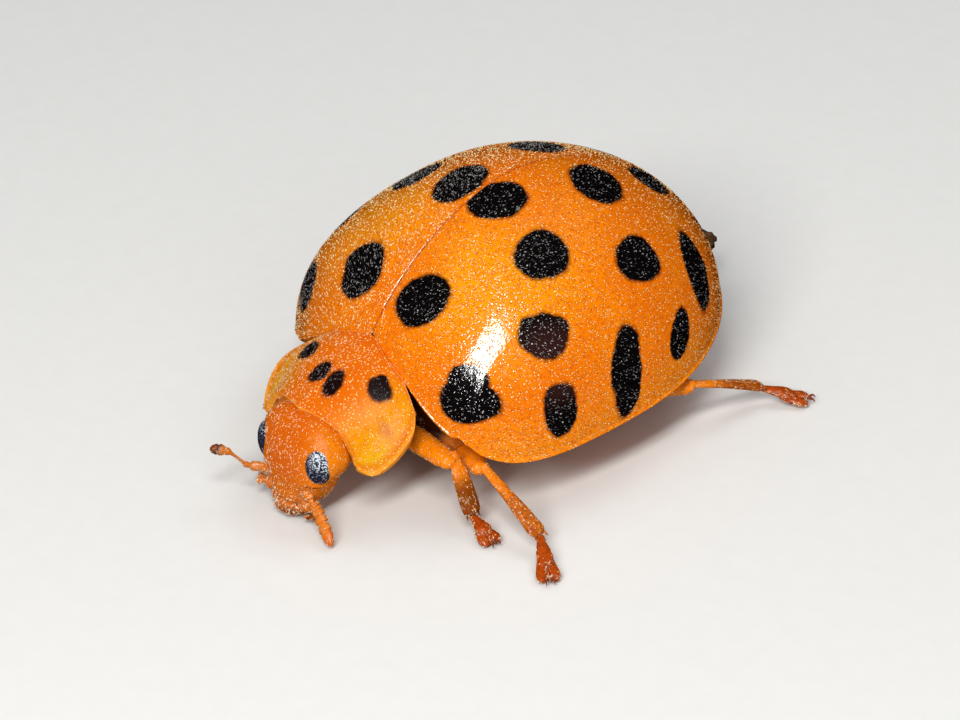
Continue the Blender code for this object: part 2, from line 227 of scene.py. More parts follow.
class Nodes:
    # short ways to add nodes to one tree

    def __init__(self, tree):
        self.tree = tree

    def put(self, kind, values=None, **settings):
        node = self.tree.nodes.new(kind)
        for key, value in settings.items():
            setattr(node, key, value)
        for key, value in (values or {}).items():
            if isinstance(value, bpy.types.NodeSocket):
                self.tree.links.new(value, node.inputs[key])
            else:
                node.inputs[key].default_value = value
        return node

    def maths(self, operation, *values):
        return self.put("ShaderNodeMath", dict(enumerate(values)), operation=operation).outputs[0]

    def vector(self, operation, *values):
        return self.put("ShaderNodeVectorMath", dict(enumerate(values)), operation=operation).outputs

    def times(self, first, second):
        return self.maths("MULTIPLY", first, second)

    def ease(self, value, low, high, start=0.0, end=1.0):
        return self.put("ShaderNodeMapRange", {0: value, 1: low, 2: high, 3: start, 4: end},
                        interpolation_type="SMOOTHSTEP").outputs[0]

    def mixed(self, share, first, second):
        return self.put("ShaderNodeMix", {0: share, 6: first, 7: second}, data_type="RGBA").outputs[2]


class Finish(Nodes):
    # one material in the making: its place in modelling millimetres, and its colour so far

    def __init__(self, name, colour, **values):
        self.material = bpy.data.materials.new(name)
        self.material.use_nodes = True
        super().__init__(self.material.node_tree)
        self.shader = self.tree.nodes["Principled BSDF"]
        for key, value in values.items():
            self.shader.inputs[key.replace("_", " ")].default_value = value
        coords = self.put("ShaderNodeTexCoord").outputs["Object"]
        self.place = self.put("ShaderNodeMapping", {"Vector": coords, "Location": (0, -anchorY, 0),
                                                    "Scale": (1 / mm,) * 3}).outputs[0]
        self.colour = colour

    def parts(self):
        return self.put("ShaderNodeSeparateXYZ", {0: self.place}).outputs

    def together(self, x, y, z):
        return self.put("ShaderNodeCombineXYZ", {0: x, 1: y, 2: z}).outputs[0]

    def out(self, x):
        return self.maths("ABSOLUTE", x)

    def distance(self, place, centre):
        return self.vector("DISTANCE", place, centre)["Value"]

    def noise(self, scale, detail=3.0):
        values = {"Vector": self.place, "Scale": scale, "Detail": detail}
        return self.put("ShaderNodeTexNoise", values).outputs[0]

    def cells(self, scale):
        return self.put("ShaderNodeTexVoronoi", {"Vector": self.place, "Scale": scale}).outputs

    def chance(self, cell):
        return self.put("ShaderNodeSeparateColor", {0: cell["Color"]}).outputs[0]

    def attribute(self, name):
        return self.put("ShaderNodeAttribute", attribute_name=name).outputs["Fac"]

    def spot(self, place, which):
        return self.put("ShaderNodeGroup", {0: place}, node_tree=spotGroups[which]).outputs[0]

    def over(self, share, colour):
        self.colour = self.mixed(share, self.colour, colour)

    def mottle(self, scale, colour, share, detail=4.0):
        self.over(self.times(self.ease(self.noise(scale, detail), 0.3, 0.75), share), colour)

    def dotted(self, scale, share):
        # a field of pinpricks, some of them missing: (bright middle, a painted glint; dark ring, painted
        # shade in the pit; how far out)
        cell = self.cells(scale)
        there = self.ease(self.chance(cell), 1 - share - 0.12, 1 - share + 0.12)
        far = cell["Distance"]
        return self.times(self.ease(far, 0.32, 0.14), there), self.ease(far, 0.60, 0.34), far

    def bump(self, heights, socket="Normal"):
        # heights: (value, millimetres) pairs, laid over one another
        normal = None
        for value, height in heights:
            values = {"Height": value, "Distance": height * mm, "Strength": 1.0}
            if normal is not None:
                values["Normal"] = normal
            normal = self.put("ShaderNodeBump", values).outputs[0]
        self.tree.links.new(normal, self.shader.inputs[socket])

    def done(self):
        self.tree.links.new(self.colour, self.shader.inputs["Base Color"])
        return self.material


def marginLift(y):
    share = (y - dome["middleY"]) / 3
    return dome["slope"] * share + dome["curve"] * share * share


def domePoint(angle, spread, inset=0.0):
    across = np.cos(angle)
    along = np.sin(angle)
    power = np.where(along < 0, dome["frontPower"], dome["rearPower"])
    reach = np.where(along < 0, dome["frontReach"], dome["rearReach"]) - inset
    x = spread * (dome["halfWidth"] - inset) * np.sign(across) * np.abs(across) ** (2 / power)
    y = dome["middleY"] + spread * reach * np.sign(along) * np.abs(along) ** (2 / power)
    crown = np.maximum(1 - spread ** dome["crownPower"], 0) ** (1 / dome["sidePower"])
    z = dome["marginZ"] + (dome["rise"] - inset) * crown + marginLift(y) * spread ** 3
    return x, y, z


def domeHeight(x, y):
    x, y = abs(x), y - dome["middleY"]
    end = "front" if y < 0 else "rear"
    power, reach = dome[end + "Power"], dome[end + "Reach"]
    spread = min(((x / dome["halfWidth"]) ** power + (abs(y) / reach) ** power) ** (1 / power), 0.9999)
    crown = (1 - spread ** dome["crownPower"]) ** (1 / dome["sidePower"])
    return dome["marginZ"] + dome["rise"] * crown + marginLift(y + dome["middleY"]) * spread ** 3


def domeNormal(x, y):
    e = 0.004
    slopeX = (domeHeight(x + e, y) - domeHeight(x - e, y)) / (2 * e)
    slopeY = (domeHeight(x, y + e) - domeHeight(x, y - e)) / (2 * e)
    return Vector((-slopeX, -slopeY, 1)).normalized()


def baseEdge(x):
    share = np.minimum(np.abs(x) / dome["baseWidth"], 1)
    return -0.187 * np.sin(np.pi * share ** 1.4) - 0.09 * np.exp(-((np.abs(x) - 0.45) / 0.30) ** 2)


def ridge(x):
    # where the wing case starts to roll over towards its base
    return baseEdge(x) + 0.012


def evenAngles(count):
    # angles from the front suture round to the rear one, evenly spaced along the outline
    fine = np.linspace(-np.pi / 2, np.pi / 2, 4001)
    x, y, z = domePoint(fine, np.ones_like(fine))
    run = np.concatenate([[0], np.cumsum(np.hypot(np.diff(x), np.diff(y)))])
    return np.interp(np.linspace(0, run[-1], count), run, fine)


def widestSpread(angle):
    # how far out the shell goes before it meets the base edge, by halving
    low = np.full_like(angle, 0.3)
    high = np.ones_like(angle)
    x, y, z = domePoint(angle, high)
    meets = y < ridge(x)
    for step in range(40):
        middle = (low + high) / 2
        x, y, z = domePoint(angle, middle)
        past = y < ridge(x)
        high = np.where(past, middle, high)
        low = np.where(past, low, middle)
    return np.where(meets, low, 1.0)


hairShape = {"sides": 3, "middle": 0.5, "waist": 1.7, "root": -0.04, "rise": 0.30, "tipRise": 0.36,
             "shortest": 0.65, "varies": 0.7, "patch": 0.0014}


def makeHairModel():
    # one short hair: a three-sided spike, cut once across; growCoat later bends it, its tip down
    pickNothing()
    bpy.ops.mesh.primitive_cone_add(vertices=hairShape["sides"], radius1=1, radius2=0, depth=1,
                                    location=(0, 0, 0.5))
    hair = bpy.context.object
    bpy.ops.object.mode_set(mode="EDIT")
    bpy.ops.mesh.select_all(action="SELECT")
    bpy.ops.mesh.bisect(plane_co=(0, 0, hairShape["middle"]), plane_no=(0, 0, 1))
    bpy.ops.object.mode_set(mode="OBJECT")
    points = np.array([v.co for v in hair.data.vertices])
    waist = np.abs(points[:, 2] - hairShape["middle"]) < 1e-4
    points[waist, :2] *= hairShape["waist"]  # keeps its width to the middle
    faces = [tuple(p.vertices) for p in hair.data.polygons]
    bpy.data.objects.remove(hair)
    return points, faces


hairPoints, hairFaces = makeHairModel()


def readMesh(data, name, width, kind=float):
    values = np.zeros(len(data) * width, kind)
    data.foreach_get(name, values)
    return values.reshape(-1, width)


def unit(vectors):
    return vectors / (np.linalg.norm(vectors, axis=1, keepdims=True) + 1e-9)


def trianglesOf(mesh):
    # each face is cut from its lowest vertex, and the cuts are sorted, so they come out the same each run
    cuts = []
    for face in mesh.polygons:
        ring = list(zip(face.vertices, face.loop_indices))
        first = ring.index(min(ring))
        ring = ring[first:] + ring[:first]
        cuts += [(ring[0], ring[i], ring[i + 1]) for i in range(1, len(ring) - 1)]
    cuts.sort(key=lambda cut: [vertex for vertex, loop in cut])
    cuts = np.array(cuts)
    return cuts[:, :, 0], cuts[:, :, 1]


def growCoat(name, skin, look, flow, keep=None):
    # copies the hair to many places on a skin, lying along flow(places, normals)
    mesh = skin.data
    corners, loops = trianglesOf(mesh)
    spots = readMesh(mesh.vertices, "co", 3)
    outward = readMesh(mesh.vertices, "normal", 3)
    uv = readMesh(mesh.uv_layers.active.uv, "vector", 2)
    tri = spots[corners]
    area = np.linalg.norm(np.cross(tri[:, 1] - tri[:, 0], tri[:, 2] - tri[:, 0]), axis=1) / 2
    draw = np.random.default_rng(look["seed"])
    wanted = int(area.sum() * look["perMm2"])
    chosen = np.searchsorted(np.cumsum(area) / area.sum(), draw.random(wanted)).clip(0, len(corners) - 1)
    a, b = draw.random((2, wanted))
    over = a + b > 1
    a[over], b[over] = 1 - a[over], 1 - b[over]
    share = np.stack([1 - a - b, a, b], 1)[:, :, None]
    root = (spots[corners[chosen]] * share).sum(1)
    up = unit((outward[corners[chosen]] * share).sum(1))
    rootUv = (uv[loops[chosen]] * share).sum(1)
    length = look["length"] * (hairShape["shortest"] + hairShape["varies"] * draw.random(wanted))
    sway = draw.normal(0, look["untidy"], (wanted, 3))
    chance = draw.random(wanted)
    if keep is not None:
        density, longer = keep(root, up)
        stay = chance < density
        root, up, rootUv, sway = root[stay], up[stay], rootUv[stay], sway[stay]
        length = (length * longer)[stay]
    along = flow(root, up) + sway
    along -= up * (along * up).sum(1, keepdims=True)
    along = unit(along)
    side = np.cross(up, along)
    lean = look.get("lean", 1.0)
    bend = np.interp(hairPoints[:, 2], [0, hairShape["middle"], 1],
                     [hairShape["root"], hairShape["rise"] * lean, hairShape["tipRise"] * lean])
    size = length[:, None, None]
    made = (root[:, None, :] + side[:, None, :] * hairPoints[None, :, 0:1] * look["thick"] / 2
            + along[:, None, :] * hairPoints[None, :, 2:3] * size
            + up[:, None, :] * (bend[None, :, None] * size + hairPoints[None, :, 1:2] * look["thick"] / 2))
    made[:, :, 2] = np.maximum(made[:, :, 2], 0.001)  # stays above the floor
    each = len(hairPoints)
    faces = [tuple(i * each + v for v in face) for i in range(len(root)) for face in hairFaces]
    coat = bpy.data.meshes.new(name)
    coat.from_pydata(made.reshape(-1, 3).tolist(), [], faces)
    patch = coat.uv_layers.new(name="OFBake")
    index = readMesh(coat.loops, "vertex_index", 1, int)[:, 0]
    inPatch = np.stack([hairPoints[:, 0], hairPoints[:, 2] * 2 - 1], 1) * hairShape["patch"]
    where = np.clip(rootUv[index // each], 0.002, 0.998) + inPatch[index % each]
    patch.uv.foreach_set("vector", where.astype(np.float32).ravel())
    piece = bpy.data.objects.new(name, coat)
    bpy.context.scene.collection.objects.link(piece)
    print(name, len(root), "hairs")
    return smooth(piece)


def towards(*direction):
    def flow(root, up):
        return np.tile(np.array(direction, float), (len(root), 1))
    return flow


def rowsOf(x, y, z):
    # one flow or place in each row
    return np.stack(np.broadcast_arrays(x, y, z), 1).astype(float)


view = {"azimuth": 48.975, "elevation": 33.843, "roll": -1.931, "distance": 79.547, "lens": 200.0,
        "sensor": 36.0, "target": (0.0, 2.80, 1.95), "shift": (-0.0378, -0.0831)}


def awayFrom(azimuth, elevation):
    # the direction out to a lamp or the camera, in degrees round from the front and up from the floor
    turn, rise = math.radians(azimuth), math.radians(elevation)
    return Vector((math.sin(turn) * math.cos(rise), -math.cos(turn) * math.cos(rise), math.sin(rise)))


def makeCamera():
    turn, roll = math.radians(view["azimuth"]), math.radians(view["roll"])
    back = awayFrom(view["azimuth"], view["elevation"])
    right = Vector((math.cos(turn), math.sin(turn), 0))
    up = back.cross(right)
    across = math.cos(roll) * right + math.sin(roll) * up
    above = -math.sin(roll) * right + math.cos(roll) * up
    bpy.ops.object.camera_add()
    camera = bpy.context.object
    camera.name = "view_camera"
    camera.data.lens = view["lens"]
    camera.data.sensor_width = view["sensor"]
    camera.data.shift_x, camera.data.shift_y = view["shift"]
    camera.data.clip_start = 1e-4
    camera.data.clip_end = 10.0
    spot = Vector(view["target"]) + Vector((0, anchorY, 0)) + back * view["distance"]
    camera.matrix_world = Matrix.Translation(spot * mm) @ Matrix((across, above, back)).transposed().to_4x4()
    bpy.context.scene.camera = camera


lamps = {
    "key": {"azimuth": 33, "elevation": 46, "far": 70, "size": (11.5, 50), "roll": -40, "power": 0.048,
            "tint": (1.0, 0.985, 0.96)},
    "front": {"azimuth": 75, "elevation": 35, "far": 90, "size": (50, 40), "roll": 0, "power": 0.008,
              "tint": (1.0, 0.98, 0.96)},
    "left": {"azimuth": -50, "elevation": 55, "far": 90, "size": (50, 50), "roll": 0, "power": 0.005,
             "tint": (0.97, 0.98, 1.0)},
    "back": {"azimuth": 175, "elevation": 60, "far": 90, "size": (50, 50), "roll": 0, "power": 0.019,
             "tint": (1.0, 1.0, 1.0)},
}
room = {"strength": 0.22, "tint": (0.93, 0.95, 1.0, 1), "floorSize": 0.6, "lampHeight": 2,
        "paper": ((0.74, 0.74, 0.72, 1), (0.78, 0.78, 0.765, 1))}


def makeLights():
    for name, look in lamps.items():
        away = awayFrom(look["azimuth"], look["elevation"])
        place = away * look["far"] * mm + Vector((0, 0, room["lampHeight"] * mm))
        bpy.ops.object.light_add(type="AREA", location=place)
        light = bpy.context.object
        light.name = "light_" + name
        lean = Matrix.Rotation(math.radians(look["roll"]), 3, "Z")
        light.rotation_euler = (away.to_track_quat("Z", "Y").to_matrix() @ lean).to_euler()
        light.data.shape = "RECTANGLE"
        light.data.size, light.data.size_y = (s * mm for s in look["size"])
        light.data.energy = look["power"]
        light.data.color = look["tint"]
        light.visible_glossy = name == "key"  # only the key lamp shows in the shine
    world = bpy.data.worlds.new("studio")
    world.use_nodes = True
    background = world.node_tree.nodes["Background"]
    background.inputs["Color"].default_value = room["tint"]
    background.inputs["Strength"].default_value = room["strength"]
    world.cycles_visibility.glossy = False
    bpy.context.scene.world = world
    bpy.context.scene.view_settings.view_transform = "Standard"


def makeFloor():
    bpy.ops.mesh.primitive_plane_add(size=room["floorSize"], location=(0, 0, 0))
    floor = bpy.context.object
    floor.name = "floor"
    paper = Finish("floor paper", room["paper"][0], Roughness=0.65)
    paper.over(paper.noise(3.0), room["paper"][1])
    floor.data.materials.append(paper.done())
    floor.visible_glossy = False


makeCamera()
makeLights()
makeFloor()
print("camera, lights and floor made")


# x, y on the dome, the long and the short half width, and the turn of the long one from level
shellSpots = {
    "left": [(0.53, 0.49, 0.44, 0.38, 47), (1.90, 0.20, 0.47, 0.29, 170), (1.76, 0.29, 0.30, 0.24, 0),
             (0.36, 2.20, 0.44, 0.37, 30), (1.42, 2.08, 0.42, 0.41, 0), (2.17, 1.42, 0.39, 0.34, 165),
             (2.68, 1.24, 0.41, 0.27, 80), (0.75, 3.78, 0.45, 0.44, 0), (1.98, 3.47, 0.42, 0.37, 165),
             (2.79, 2.45, 0.67, 0.28, 72), (0.57, 5.00, 0.38, 0.36, 0), (2.03, 4.58, 0.62, 0.30, 58),
             (2.66, 3.65, 0.37, 0.22, 48), (1.05, 5.62, 0.30, 0.22, 90)],
    "right": [(-0.76, 0.47, 0.45, 0.39, 91), (-2.00, 0.35, 0.42, 0.37, 10), (-0.43, 2.15, 0.47, 0.38, 139),
              (-1.51, 2.17, 0.42, 0.41, 0), (-2.20, 1.42, 0.36, 0.33, 15), (-2.68, 1.27, 0.41, 0.27, 100),
              (-0.61, 3.79, 0.45, 0.42, 0), (-1.98, 3.47, 0.42, 0.37, 15), (-2.79, 2.45, 0.67, 0.28, 108),
              (-0.60, 5.02, 0.38, 0.36, 0), (-2.03, 4.60, 0.62, 0.30, 122), (-2.66, 3.65, 0.37, 0.22, 132),
              (-1.05, 5.62, 0.30, 0.22, 90)],
}
# wobble bends the outline of the spots, ragged frays it; blobs hold centre, turn and half widths
spotLook = {"depth": 0.7, "melt": 0.45, "wobble": (1.7, 0.22), "ragged": (14.0, 0.05),
            "hairTints": ((0.003, 0.002, 0.002, 1), (0.34, 0.32, 0.31, 1))}
headMarks = {
    "neck": {"wobble": 0.12, "ragged": 0.04,
             "blobs": [((0.165, -0.935, 2.005), (0, 0, 0.15), (0.125, 0.195, 0.5)),
                       ((-0.170, -0.910, 2.005), (0, 0, -0.15), (0.150, 0.180, 0.5)),
                       ((0.745, -0.535, 1.99), (0, 0, 0.40), (0.175, 0.125, 0.5)),
                       ((0.705, -0.455, 1.99), (0, 0, 0), (0.100, 0.100, 0.5)),
                       ((-0.790, -0.600, 1.96), (0, 0, -0.35), (0.190, 0.150, 0.5))]},
    "smudge": {"wobble": 0.2, "ragged": 0.08,
               "blobs": [((1.106, -0.773, 1.570), (0, 0, 0), (0.16, 0.14, 0.4))]},
    "eyeLine": {"wobble": 0.04, "ragged": 0.02,
                "blobs": [((0.60, -1.77, 0.770), (0, 0, 0.70), (0.14, 0.08, 0.018))]},
}


def spotBlobs(spots):
    # each spot lies flat on the dome
    blobs = []
    for x, y, long, short, lean in spots:
        normal = domeNormal(x, y)
        slope = Vector((0, 0, -1))
        slope = (slope - normal * slope.dot(normal)).normalized()
        turn = Matrix((slope.cross(normal), slope, normal)).transposed()
        turn = turn @ Matrix.Rotation(math.radians(lean), 3, "Z")
        blobs.append(((x, y, domeHeight(x, y)), tuple(turn.to_euler()), (long, short, spotLook["depth"])))
    return blobs


def makeSpotGroup(name, blobs, wobble, ragged):
    # gives 1 at a spot's edge and less inside it
    tree = bpy.data.node_groups.new(name, "ShaderNodeTree")
    tree.interface.new_socket("place", in_out="INPUT", socket_type="NodeSocketVector")
    tree.interface.new_socket("near", in_out="OUTPUT", socket_type="NodeSocketFloat")
    group = Nodes(tree)
    place = group.put("NodeGroupInput").outputs[0]
    moved = place
    for size, amount in ((spotLook["wobble"][0], wobble), (spotLook["ragged"][0], ragged)):
        wave = group.put("ShaderNodeTexNoise", {"Vector": place, "Scale": size, "Detail": 1.0})
        centred = group.vector("SUBTRACT", wave.outputs["Color"], (0.5, 0.5, 0.5))[0]
        moved = group.vector("MULTIPLY_ADD", centred, (amount,) * 3, moved)[0]
    nearest = None
    for centre, turn, radii in blobs:
        values = {"Vector": moved, "Location": centre, "Rotation": turn, "Scale": radii}
        local = group.put("ShaderNodeMapping", values, vector_type="TEXTURE").outputs[0]
        far = group.vector("LENGTH", local)["Value"]
        nearest = far if nearest is None else group.maths("SMOOTH_MIN", nearest, far, spotLook["melt"])
    group.put("NodeGroupOutput", {0: nearest})
    return tree


spotGroups = {}
for side, spots in shellSpots.items():
    spotGroups[side] = makeSpotGroup("spots " + side, spotBlobs(spots), spotLook["wobble"][1],
                                     spotLook["ragged"][1])
for name, mark in headMarks.items():
    spotGroups[name] = makeSpotGroup("spots " + name, mark["blobs"], mark["wobble"], mark["ragged"])
print("spots laid out")


# the folds are (out, down) steps from the edge; the shoulder is (centre, radii, height), a rim lift
# (x, width, height), and drawIn moves the right case's front corner. The hairs' thick shoulder and
# thin spot are (x, y, spread)
shellLook = {
    "columns": 180, "mainRows": 70, "thick": 0.06, "sutureGap": 0.005,
    "marginFold": [(0.012, -0.008), (0.022, -0.020), (0.022, -0.038), (0.008, -0.052), (-0.05, -0.050),
                   (-0.22, -0.030), (-0.42, 0.0)],
    "baseFold": [(0.010, -0.006), (0.018, -0.022), (0.012, -0.046), (-0.02, -0.080), (-0.08, -0.13),
                 (-0.18, -0.20), (-0.30, -0.28)],
    "shoulder": ((1.72, 0.62, 2.55), (0.62, 0.55, 0.8), 0.045),
    "rimLifts": [(1.95, 0.13, 0.24), (2.12, 0.20, 0.10), (2.60, 0.26, -0.05)],
    "lip": {"height": 0.013, "rowsIn": 9, "rows": 4},
    "turnedInShade": {"inner": {"x": 1.05, "fade": 0.4, "least": 0.10},
                 "outer": {"x": 1.64, "fade": 0.25, "least": 0.06}, "onTheRight": 0.4},
    "drawIn": {"place": (-2.10, 0.0), "reach": 0.45, "move": (0.10, 0.09, 0.0)},
    "colours": {"deep": (0.64, 0.095, 0.001, 1), "middle": (0.90, 0.195, 0.001, 1),
                "pale": (1.00, 0.300, 0.002, 1), "paintedHalo": (0.94, 0.40, 0.003, 1),
                "far": (0.44, 0.10, 0.004, 1), "seam": (0.50, 0.05, 0.001, 1), "dot": (1.0, 0.56, 0.12, 1),
                "spot": (0.003, 0.0022, 0.0024, 1), "maroon": (0.030, 0.010, 0.008, 1),
                "edge": (0.10, 0.010, 0.002, 1), "spotGlint": (0.90, 0.88, 0.86, 1),
                "inside": (0.030, 0.006, 0.001, 1)},
    "paintedHaloPlace": (1.40, 1.30, 3.20), "maroonPlace": (2.19, 1.43, 2.2),
    "thickShoulder": (1.35, 1.40, 0.60), "thinSpot": (1.88, 0.22, 0.12), "thickBelow": 2.2,
    "coat": {
        "left": {"seed": 4, "perMm2": 520, "length": 0.025, "thick": 0.017, "untidy": 0.22, "lean": 0.8,
                 "tints": ((0.80, 0.18, 0.002, 1), (1.0, 0.92, 0.46, 1))},
        # the right case's hair is darker where it does not shine, to go with the painted shade on that case
        "right": {"seed": 5, "perMm2": 700, "length": 0.024, "thick": 0.019, "untidy": 0.22, "lean": 0.8,
                  "tints": ((0.66, 0.15, 0.003, 1), (1.0, 0.93, 0.50, 1))},
    },
}


def makeShellSheet():
    look = shellLook
    main = look["mainRows"]
    rows = main + len(look["marginFold"])
    sheet = grid(look["columns"], rows)
    mesh = sheet.data
    flat = readMesh(mesh.vertices, "co", 3)
    column = np.rint((flat[:, 0] + 1) / 2 * look["columns"]).astype(int)
    row = np.rint((flat[:, 1] + 1) / 2 * rows).astype(int)
    angles = evenAngles(look["columns"] + 1)
    widest = widestSpread(angles)
    spread = widest[column] * np.sin(np.minimum(row / main, 1) * np.pi / 2)
    x, y, z = domePoint(angles[column], spread)
    centre, radii, height = look["shoulder"]
    z = z + height * np.exp(-1.5 * sum(((v - c) / r) ** 2 for v, c, r in zip((x, y, z), centre, radii)))
    near = np.clip((np.minimum(row / main, 1) - 0.5) / 0.5, 0, 1) ** 2 * np.clip((1.9 - y) / 0.6, 0, 1)
    for middle, width, height in look["rimLifts"]:
        z = z + height * np.exp(-((x - middle) / width) ** 2) * near
    # the outline's own outward direction at each column
    edgeX, edgeY, edgeZ = domePoint(angles, widest)
    runX, runY = np.gradient(edgeX), np.gradient(edgeY)
    long = np.hypot(runX, runY)
    outX, outY = runY / long, -runX / long
    front = (widest < 0.9999).astype(float)
    front = np.convolve(np.pad(front, 4, mode="edge"), np.ones(9) / 9, mode="valid")
    table = (np.array(look["marginFold"])[None] * (1 - front)[:, None, None]
             + np.array(look["baseFold"])[None] * front[:, None, None])
    # a low lip along the base
    lip = look["lip"]
    z = z + lip["height"] * np.exp(-((main - row - lip["rowsIn"]) / lip["rows"]) ** 2) * front[column]
    # the turned-in front face gets painted shade, dark, which fades at both its ends
    inner, outer = look["turnedInShade"]["inner"], look["turnedInShade"]["outer"]
    shade = np.clip((row - main - 2) / 2, 0, 1) * front[column]
    shade = shade * np.clip((edgeX[column] - inner["x"]) / inner["fade"], inner["least"], 1)
    shade = shade * np.clip((outer["x"] - edgeX[column]) / outer["fade"], outer["least"], 1)
    sheet.data.attributes.new("turnedInShade", "FLOAT", "POINT").data.foreach_set("value", shade)
    past = row > main
    step = row[past] - main - 1
    out, down = table[column[past], step, 0], table[column[past], step, 1]
    x[past] += out * outX[column[past]]
    y[past] += out * outY[column[past]]
    z[past] += down
    x = np.maximum(x, 0) + look["sutureGap"]
    mesh.vertices.foreach_set("co", np.stack([x, y, z], 1).ravel())
    turnOut(sheet)
    if max(sheet.data.vertices, key=lambda v: v.co.z).normal.z < 0:
        mesh.flip_normals()
    return sheet


def makeRightSheet(leftSheet):
    pick(leftSheet)
    bpy.ops.object.duplicate()
    sheet = bpy.context.object
    sheet.data.transform(Matrix.Diagonal((-1, 1, 1, 1)))
    sheet.data.flip_normals()
    corner = shellLook["drawIn"]
    for vert in sheet.data.vertices:
        far = math.dist(vert.co[:2], corner["place"]) / corner["reach"]
        vert.co += Vector(corner["move"]) * math.exp(-far ** 2)
    # the painted shade on the turned-in face is lighter on the right case
    for point in sheet.data.attributes["turnedInShade"].data:
        point.value *= shellLook["turnedInShade"]["onTheRight"]
    return sheet


def makeShellMaterial(side):
    look = shellLook["colours"]
    case = Finish("wing case " + side, look["middle"], Roughness=0.12, Specular_IOR_Level=0.90,
                  Coat_Weight=0.9, Coat_Roughness=0.09, Coat_IOR=1.7)
    x, y, z = case.parts()
    case.over(case.times(case.ease(case.noise(0.9), 0.35, 0.68), 0.55), look["pale"])
    case.mottle(9.0, look["deep"], 0.30)
    # painted light: paler low on the sides
    case.over(case.ease(z, 2.0, 1.15, 0.0, 0.55), look["pale"])
    # painted shade: darker towards the tail
    case.over(case.ease(y, 3.6, 6.2, 0.0, 0.45), look["deep"])
    # a painted highlight halo: yellower round the place where the key lamp's highlight falls
    shoulder = case.distance(case.vector("ABSOLUTE", case.place)[0], shellLook["paintedHaloPlace"])
    case.over(case.ease(shoulder, 1.6, 0.4, 0.0, 0.55), look["paintedHalo"])
    # pinpricks: painted shade in each pit's ring, and a painted glint in its middle
    bright, ring, far = case.dotted(20.0, 0.80)
    case.over(case.times(ring, 0.60), look["deep"])
    case.over(bright, look["dot"])
    # painted shade: the right case darker, on the side away from the key lamp
    case.over(case.ease(x, -0.2, -1.2, 0.0, 0.18), look["far"])
    case.over(case.ease(case.out(x), 0.035, 0.008, 0.0, 0.6), look["seam"])
    # the spots: a dark edge, then black with sparse painted glints, brownish at one of them
    centre = shellLook["maroonPlace"]
    brownish = case.ease(case.distance(case.place, (centre[0] * sides[side], *centre[1:])), 0.8, 0.4)
    black = case.mixed(brownish, look["spot"], look["maroon"])
    sparse = case.ease(case.noise(13.0), 0.50, 0.62, 0.0, 0.55)
    black = case.mixed(case.times(bright, sparse), black, look["spotGlint"])
    near = case.spot(case.place, side)
    case.over(case.ease(near, 1.16, 1.0, 0.0, 0.7), look["edge"])
    case.over(case.ease(near, 1.04, 0.96), black)
    # painted shade on the turned-in front face
    case.over(case.attribute("turnedInShade"), look["inside"])
    case.bump([(case.ease(far, 0.08, 0.40), 0.006), (case.noise(30.0, 2.0), 0.003)])
    case.bump([(case.ease(far, 0.10, 0.45), 0.0025), (case.noise(9.0), 0.014)], "Coat Normal")
    return case.done()


def makeCoatMaterial(name, dark, light, which=None):
    # parts of each hair get a painted shine, the rest keeps the skin's colour
    hair = Finish(name, dark, Roughness=0.30)
    shine = hair.ease(hair.noise(24.0, 1.0), 0.47, 0.57)
    hair.over(shine, light)
    if which is not None:
        black = hair.mixed(shine, *spotLook["hairTints"])
        hair.over(hair.ease(hair.spot(hair.place, which), 1.05, 0.95), black)
    return hair.done()


def shellFlow(root, up):
    # backwards, spreading from the seam
    x = root[:, 0]
    return rowsOf(0.45 * np.sign(x) * np.clip(np.abs(x), 0, 1), 1.0, -0.25)


def shellKeep(root, up):
    # thickest on the right case, down the sides and over the left shoulder, thin on the shoulder spot
    x, y, z = root.T
    right = x < 0
    lower = np.clip(shellLook["thickBelow"] - z, 0, 1)
    shoulder, spot = (np.exp(-((x - middleX) ** 2 + (y - middleY) ** 2) / spread)
                      for middleX, middleY, spread in (shellLook["thickShoulder"], shellLook["thinSpot"]))
    density = np.clip(0.55 + 0.45 * right + 0.30 * lower + 0.45 * shoulder, 0, 1) * (up[:, 2] > -0.25)
    density *= 1 - 0.65 * spot
    return density, 1 + 0.25 * right + 0.2 * lower + 0.40 * shoulder


leftSheet = makeShellSheet()
for side, sheet in (("left", leftSheet), ("right", makeRightSheet(leftSheet))):
    coatLook = shellLook["coat"][side]
    coat = growCoat("shell_coat_" + side, sheet, coatLook, shellFlow, shellKeep)
    addWall(sheet, shellLook["thick"])
    applyAll(sheet)
    sheet.name = "shell_" + side
    dress(smooth(sheet), makeShellMaterial(side), "shell", "elytron_" + side)
    dress(coat, makeCoatMaterial("shell down " + side, *coatLook["tints"], side), "shell")
print("wing cases made")


